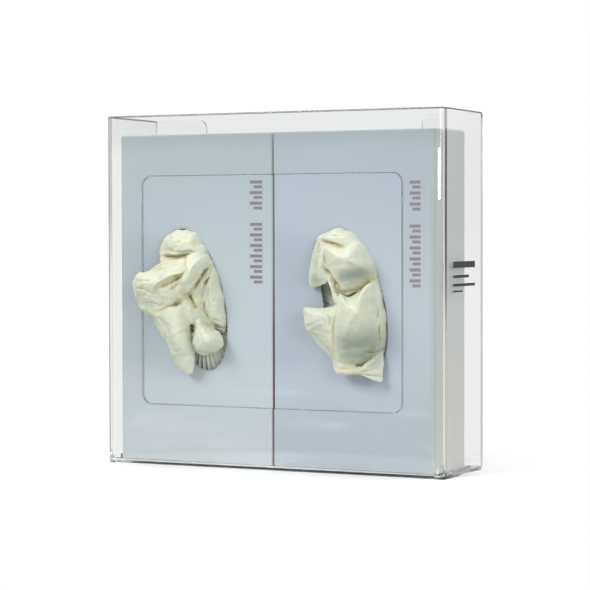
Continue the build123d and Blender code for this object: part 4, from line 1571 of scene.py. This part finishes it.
def flame_polished(node: bpy.types.Object, name: str, rounding: float, above: float) -> bpy.types.Object:
    """A copy of a sheet's solid whose sharp cut edges are slightly rounded, as polishing leaves them.

    Args:
        node: the solid to copy, which itself isn't changed.
        name: the copy's name.
        rounding: how far the rounding reaches from an edge.
        above: edges whose middle is lower than this height keep their form.

    Returns:
        The rounded copy.
    """
    mesh = node.data.copy()
    mesh.name = name
    form = bmesh.new()
    form.from_mesh(mesh)
    bmesh.ops.remove_doubles(form, verts=form.verts, dist=MERGE_REACH)
    bmesh.ops.dissolve_limit(
        form, angle_limit=FLAT_TURN, use_dissolve_boundaries=False, verts=form.verts, edges=form.edges
    )
    sharp = [
        edge
        for edge in form.edges
        if len(edge.link_faces) == 2
        and edge.calc_face_angle(0.0) > CUT_TURN
        and (edge.verts[0].co.z + edge.verts[1].co.z) / 2 > above * MM
    ]
    bmesh.ops.bevel(
        form,
        geom=sharp,
        offset=rounding * MM,
        offset_type="OFFSET",
        segments=4,
        profile=0.5,
        affect="EDGES",
        clamp_overlap=False,
    )
    bmesh.ops.triangulate(form, faces=form.faces)
    form.normal_update()
    for face in form.faces:
        face.smooth = not is_flat_face(face)
    for edge in form.edges:
        edge.smooth = is_smooth_edge(edge)
    form.to_mesh(mesh)
    form.free()
    return linked(name, mesh)


@dataclass
class ClearCase:
    """The clear case: one folded sheet, its flat back, two cemented lugs and the wall's print."""

    wall_x: float = 134.95
    sheet: float = 2.4
    rounding: float = 0.7
    relief_top: float = 15.0
    back_y: float = 38.1
    height: float = 257.2
    back_joint: float = 2.4
    lug: Pair = (-20.6, 16.2)
    lug_height: float = 4.7
    cement_inset: float = 0.3
    cement_half: float = 0.03
    cement_low: float = 0.5
    back_clear: float = 4.0
    back_inset: Pair = (0.2, 0.5)
    print_bars: tuple[tuple[float, float, float, float], ...] = (
        (-20.0, 22.0, 146.0, 150.5),
        (-20.0, 10.0, 139.0, 141.0),
        (-20.0, 22.0, 133.0, 135.0),
        (-20.0, -2.0, 129.0, 130.2),
    )
    print_thickness: float = 0.06
    finish: ClearSheetFinish = field(default_factory=lambda: ClearSheetFinish("clear_folded_sheet", rim=True))
    back_finish: ClearSheetFinish = field(
        default_factory=lambda: ClearSheetFinish("clear_flat_sheet", tint=(1.0, 1.0, 0.998, 1.0), density=3.0)
    )

    def build(self, nodes: dict[str, bpy.types.Object]) -> list[bpy.types.Object]:
        """Dresses the sheet and adds the cemented faces and the print.

        Args:
            nodes: the frame's objects by name.

        Returns:
            The case's pieces.
        """
        sheet = flame_polished(nodes[Part.CASE.value], "folded_clear_sheet", self.rounding, self.relief_top)
        dress(sheet, self.finish.build())
        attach(sheet, "root")
        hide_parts(Part.CASE.value)
        dress(nodes[Part.BACK.value], self.back_finish.build())
        return [sheet, nodes[Part.BACK.value], *self.cement(), *self.wall_print()]

    def cement(self) -> list[bpy.types.Object]:
        """Adds the dull cemented faces between each lug or the back panel and its wall.

        Returns:
            The faces, as thin plates.
        """
        dull = CementFinish().build()
        pale = CementFinish("back_cement", linear(226, 228, 222), linear(236, 237, 232), 0.9).build()
        inner = self.wall_x - self.sheet
        lug = (self.lug[0] + self.cement_inset, self.lug[1] - self.cement_inset)
        back = (self.back_y - self.back_joint + self.back_inset[0], self.back_y - self.back_inset[1])
        bands = (
            ("lug_cement", lug, self.lug_height, dull),
            ("back_cement", back, self.height - self.back_clear, pale),
        )
        pieces = []
        for name, (front, rear), high, finish in bands:
            for side, word in ((-1, "left"), (1, "right")):
                near, far = sorted(side * (inner + way * self.cement_half) for way in (-1, 1))
                band = plate(f"{name}_{word}", (near, front, self.cement_low), (far, rear, high))
                band.data.materials.append(finish)
                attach(band, "root")
                pieces.append(band)
        return pieces

    def wall_print(self) -> list[bpy.types.Object]:
        """Adds plain bars printed on the outside of the right wall.

        Returns:
            The bars.
        """
        ink = InkFinish().build()
        bars = []
        for number, (front, back, low, high) in enumerate(self.print_bars, 1):
            bar = plate(
                f"wall_print_bar_{number}",
                (self.wall_x, front, low),
                (self.wall_x + self.print_thickness, back, high),
            )
            bar.data.materials.append(ink)
            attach(bar, "root")
            bars.append(bar)
        return bars


@dataclass
class Cartons:
    """Two printed glove cartons, side by side."""

    front: float = -35.0
    low: float = 2.4
    high: float = 243.3
    left_middle: float = -60.35
    right_middle: float = 65.55
    oval: Pair = (23.0, 53.0)
    oval_height: float = 122.2

    def build(self, nodes: dict[str, bpy.types.Object]) -> list[bpy.types.Object]:
        """Dresses both cartons.

        Args:
            nodes: the frame's objects by name.

        Returns:
            The cartons.
        """
        shared = {
            "front": self.front,
            "low": self.low,
            "high": self.high,
            "oval": self.oval,
            "oval_height": self.oval_height,
        }
        left = CartonFinish(
            "printed_board_left",
            self.left_middle,
            label=(-16.0, -6.0, 132.5, 208.7),
            strip=False,
            blush=True,
            face_low=linear(181, 189, 193),
            face_mid=linear(182, 193, 198),
            face_high=linear(172, 184, 189),
            **shared,
        )
        right = CartonFinish(
            "printed_board_right",
            self.right_middle,
            label=(108.7, 117.0, 132.3, 207.1),
            strip=True,
            blush=False,
            face_low=linear(165, 174, 182),
            face_mid=linear(182, 192, 201),
            face_high=linear(171, 182, 191),
            **shared,
        )
        for part, finish in ((Part.CARTON_LEFT, left), (Part.CARTON_RIGHT, right)):
            dress(nodes[part.value], finish.build())
        return [nodes[Part.CARTON_LEFT.value], nodes[Part.CARTON_RIGHT.value]]


@dataclass(frozen=True)
class GloveSide:
    """What differs between the two cartons' gloves."""

    word: str
    middle: float
    drawn: Part
    following: Part
    folds: dict[str, Fold]
    creases: tuple[Crease, ...]
    # strokes of painted grey-green shade and of painted ochre shade
    cool_shade: tuple[Crease, ...]
    warm_shade: tuple[Crease, ...]
    wrinkle: float
    pinch: Pair


@dataclass
class Gloves:
    """Packed gloves, the next glove behind each opening and the glove drawn out of it."""

    front: float = -35.0
    next_front: float = -30.6
    glove_height: float = 121.0
    oval_height: float = 122.2
    sides: tuple[GloveSide, GloveSide] = (
        GloveSide(
            "left", -60.35, Part.PULLED_LEFT, Part.NEXT_LEFT,
            LEFT_FOLDS, LEFT_CREASES, LEFT_COOL_SHADE, LEFT_WARM_SHADE, 1.25, (4.0, -22.0),
        ),
        GloveSide(
            "right", 65.55, Part.PULLED_RIGHT, Part.NEXT_RIGHT,
            RIGHT_FOLDS, RIGHT_CREASES, RIGHT_COOL_SHADE, RIGHT_WARM_SHADE, 0.7, (-6.0, -6.0),
        ),
    )
    # painted light: a lighter copy of the latex colours that makes up for the shade inside the opening
    lightened_latex: tuple[Colour, Colour, Colour] = (linear(240, 244, 232), linear(232, 238, 226), linear(214, 214, 190))

    def build(self, nodes: dict[str, bpy.types.Object]) -> list[bpy.types.Object]:
        """Builds every soft piece.

        Args:
            nodes: the frame's objects by name.

        Returns:
            The soft pieces.
        """
        latex = LatexFinish().build()
        # painted light: the lighter latex for the gloves in the shade of the openings
        lightened_latex = LatexFinish("waiting_latex_lightened", *self.lightened_latex).build()
        pieces = [nodes[Part.STACK_LEFT.value], nodes[Part.STACK_RIGHT.value]]
        for stack in pieces:
            dress(stack, latex)
        for side in self.sides:
            mouth = (side.middle, self.front, self.glove_height)
            washes = (side.creases, side.cool_shade, side.warm_shade)
            drawn = PulledGlove(f"drawn_glove_{side.word}", side.drawn, mouth, side.folds, *washes, side.wrinkle)
            pieces.append(drawn.build(latex))
            behind = (side.middle, self.next_front, self.oval_height)
            pieces.append(NextGlove(f"waiting_glove_{side.word}", side.following, behind, side.pinch).build(lightened_latex))
        return pieces


class Lamp(Enum):
    """The studio's lights."""

    KEY = "key_light"
    FILL = "fill_light"
    TOP = "top_light"
    STRIP = "strip_light"


@dataclass
class Studio:
    """A pale floor, a white surround, soft lights and the camera. Lengths are in metres."""

    eye: Point = (0.6636054, -1.3657769, 0.1711395)
    turn: float = 25.8109
    rise: float = 1.733
    roll: float = -0.1096
    lens: float = 126.563
    sensor: float = 36.0
    lights: tuple[tuple[Lamp, Point, float, float], ...] = (
        (Lamp.KEY, (-0.75, -1.25, 1.15), 0.7, 17.0),
        (Lamp.FILL, (1.35, -0.85, 0.55), 0.6, 8.0),
        (Lamp.TOP, (0.1, 0.15, 1.35), 0.9, 9.0),
        (Lamp.STRIP, (0.84, -1.21, 0.250), 0.75, 3.4),
    )
    strip_height: float = 0.07
    target: Point = (0.0, 0.0, 0.12)
    floor_reach: float = 3.0
    floor_drop: float = 0.0002
    floor_fade: Pair = (0.142, 0.20)
    dark_above: tuple[float, float, float] = (0.08, 0.3, 0.75)
    horizon: Pair = (-0.03, 0.015)
    turned_loss: float = 0.1
    horizon_loss: float = 0.3
    lit: float = 0.55
    lit_trapped: float = 0.35

    def build(self) -> None:
        """Builds the whole studio."""
        self.camera()
        self.floor()
        self.surround()
        for lamp, place, size, power in self.lights:
            self.light(lamp, place, size, power)

    def camera(self) -> None:
        """Creates the camera and makes it the scene's."""
        turn, rise, roll = (math.radians(v) for v in (self.turn, self.rise, self.roll))
        back = Vector((math.sin(turn) * math.cos(rise), -math.cos(turn) * math.cos(rise), math.sin(rise)))
        right = Vector((math.cos(turn), math.sin(turn), 0))
        up = back.cross(right)
        across = right * math.cos(roll) + up * math.sin(roll)
        upward = up * math.cos(roll) - right * math.sin(roll)
        data = bpy.data.cameras.new("camera")
        data.lens = self.lens
        data.sensor_width = self.sensor
        data.dof.use_dof = False
        camera = bpy.data.objects.new("camera", data)
        axes = Matrix((across, upward, back)).transposed().to_4x4()
        camera.matrix_world = Matrix.Translation(Vector(self.eye)) @ axes
        bpy.context.scene.collection.objects.link(camera)
        bpy.context.scene.camera = camera

    def floor(self) -> None:
        """Adds a pale floor that fades into the white surround."""
        ends = np.array(((-1, -1, 0), (1, -1, 0), (1, 1, 0), (-1, 1, 0)))
        floor = mesh_object("floor", ends * self.floor_reach / MM, [(0, 1, 2, 3)])
        floor.location = (0, 0, -self.floor_drop)
        material, graph = new_material("pale_floor")
        x, y, _ = graph.place()
        away = graph.maths("SQRT", graph.maths("ADD", graph.times(x, x), graph.times(y, y)))
        pale = graph.add("BsdfDiffuse", {0: (0.93, 0.93, 0.93, 1.0)})
        graph.finish(graph.mix(graph.smooth(away, *self.floor_fade), pale, graph.clear(1.0, 1.0, 1.0)).outputs[0])
        floor.data.materials.append(material)

    def surround(self) -> None:
        """A white surround to look at, and a softer grey one that lights and is reflected.

        Light that has passed through the sheet finds the surround darker higher up, and darker
        still round the horizon when the sheet has turned it back once on its way.
        """
        world = bpy.data.worlds.new("surround")
        world.use_nodes = True
        bpy.context.scene.world = world
        graph = Graph(world.node_tree)
        height = graph.add("SeparateXYZ", {0: graph.add("TexCoord").outputs["Generated"]}).outputs[2]
        path = graph.add("LightPath")
        low, high, dimming = self.dark_above
        above = graph.rest(graph.times(graph.smooth(height, low, high), dimming))
        turned_back = graph.maths("MINIMUM", path.outputs["Glossy Depth"], 1.0)
        horizon = graph.times(graph.smooth(height, *self.horizon), self.horizon_loss)
        loss = graph.times(turned_back, graph.maths("ADD", self.turned_loss, horizon))
        through = graph.add("Background", {0: (1, 1, 1, 1), 1: graph.times(above, graph.rest(loss))})
        seen = graph.add("Background", {0: (1, 1, 1, 1), 1: 1.0})
        strength = graph.times(trapped_light(graph, path), self.lit_trapped)
        strength = graph.maths("ADD", self.lit, strength)
        lit = graph.add("Background", {0: (0.97, 0.98, 1.0, 1.0), 1: strength})
        both = graph.mix(path.outputs["Is Transmission Ray"], lit, through)
        both = graph.mix(path.outputs["Is Camera Ray"], both, seen)
        graph.add("OutputWorld", {"Surface": both.outputs[0]})

    def light(self, kind: Lamp, place: Point, size: float, power: float) -> None:
        """Adds one soft light that faces the object.

        The fill light leaves no highlights, and the strip gives nothing but highlights.

        Args:
            kind: which of the studio's lights it is.
            place: where it stands.
            size: its side, or the strip's length.
            power: its power in watts.
        """
        strip = kind is Lamp.STRIP
        data = bpy.data.lights.new(kind.value, "AREA")
        data.size = size
        data.energy = power
        if strip:
            data.shape = "RECTANGLE"
            data.size_y = self.strip_height
        lamp = bpy.data.objects.new(kind.value, data)
        aim = Vector((*self.target[:2], place[2] if strip else self.target[2])) - Vector(place)
        lamp.location = place
        lamp.rotation_euler = aim.to_track_quat("-Z", "Y").to_euler()
        lamp.visible_glossy = kind is not Lamp.FILL
        lamp.visible_diffuse = not strip
        bpy.context.scene.collection.objects.link(lamp)


def main() -> None:
    """Builds the object and its studio and logs how many faces each piece has."""
    logging.basicConfig(level=logging.INFO, format="%(message)s")
    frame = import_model()
    nodes = frame["nodes"]
    for assembly in (ClearCase(), Cartons(), Gloves()):
        for piece in assembly.build(nodes):
            LOG.info("%s: %d faces", piece.name, len(piece.data.polygons))
    Studio().build()
    bpy.context.scene.view_settings.view_transform = "Standard"
    bpy.context.view_layer.update()
    LOG.info("built and measured")


if __name__ == "__main__":
    main()
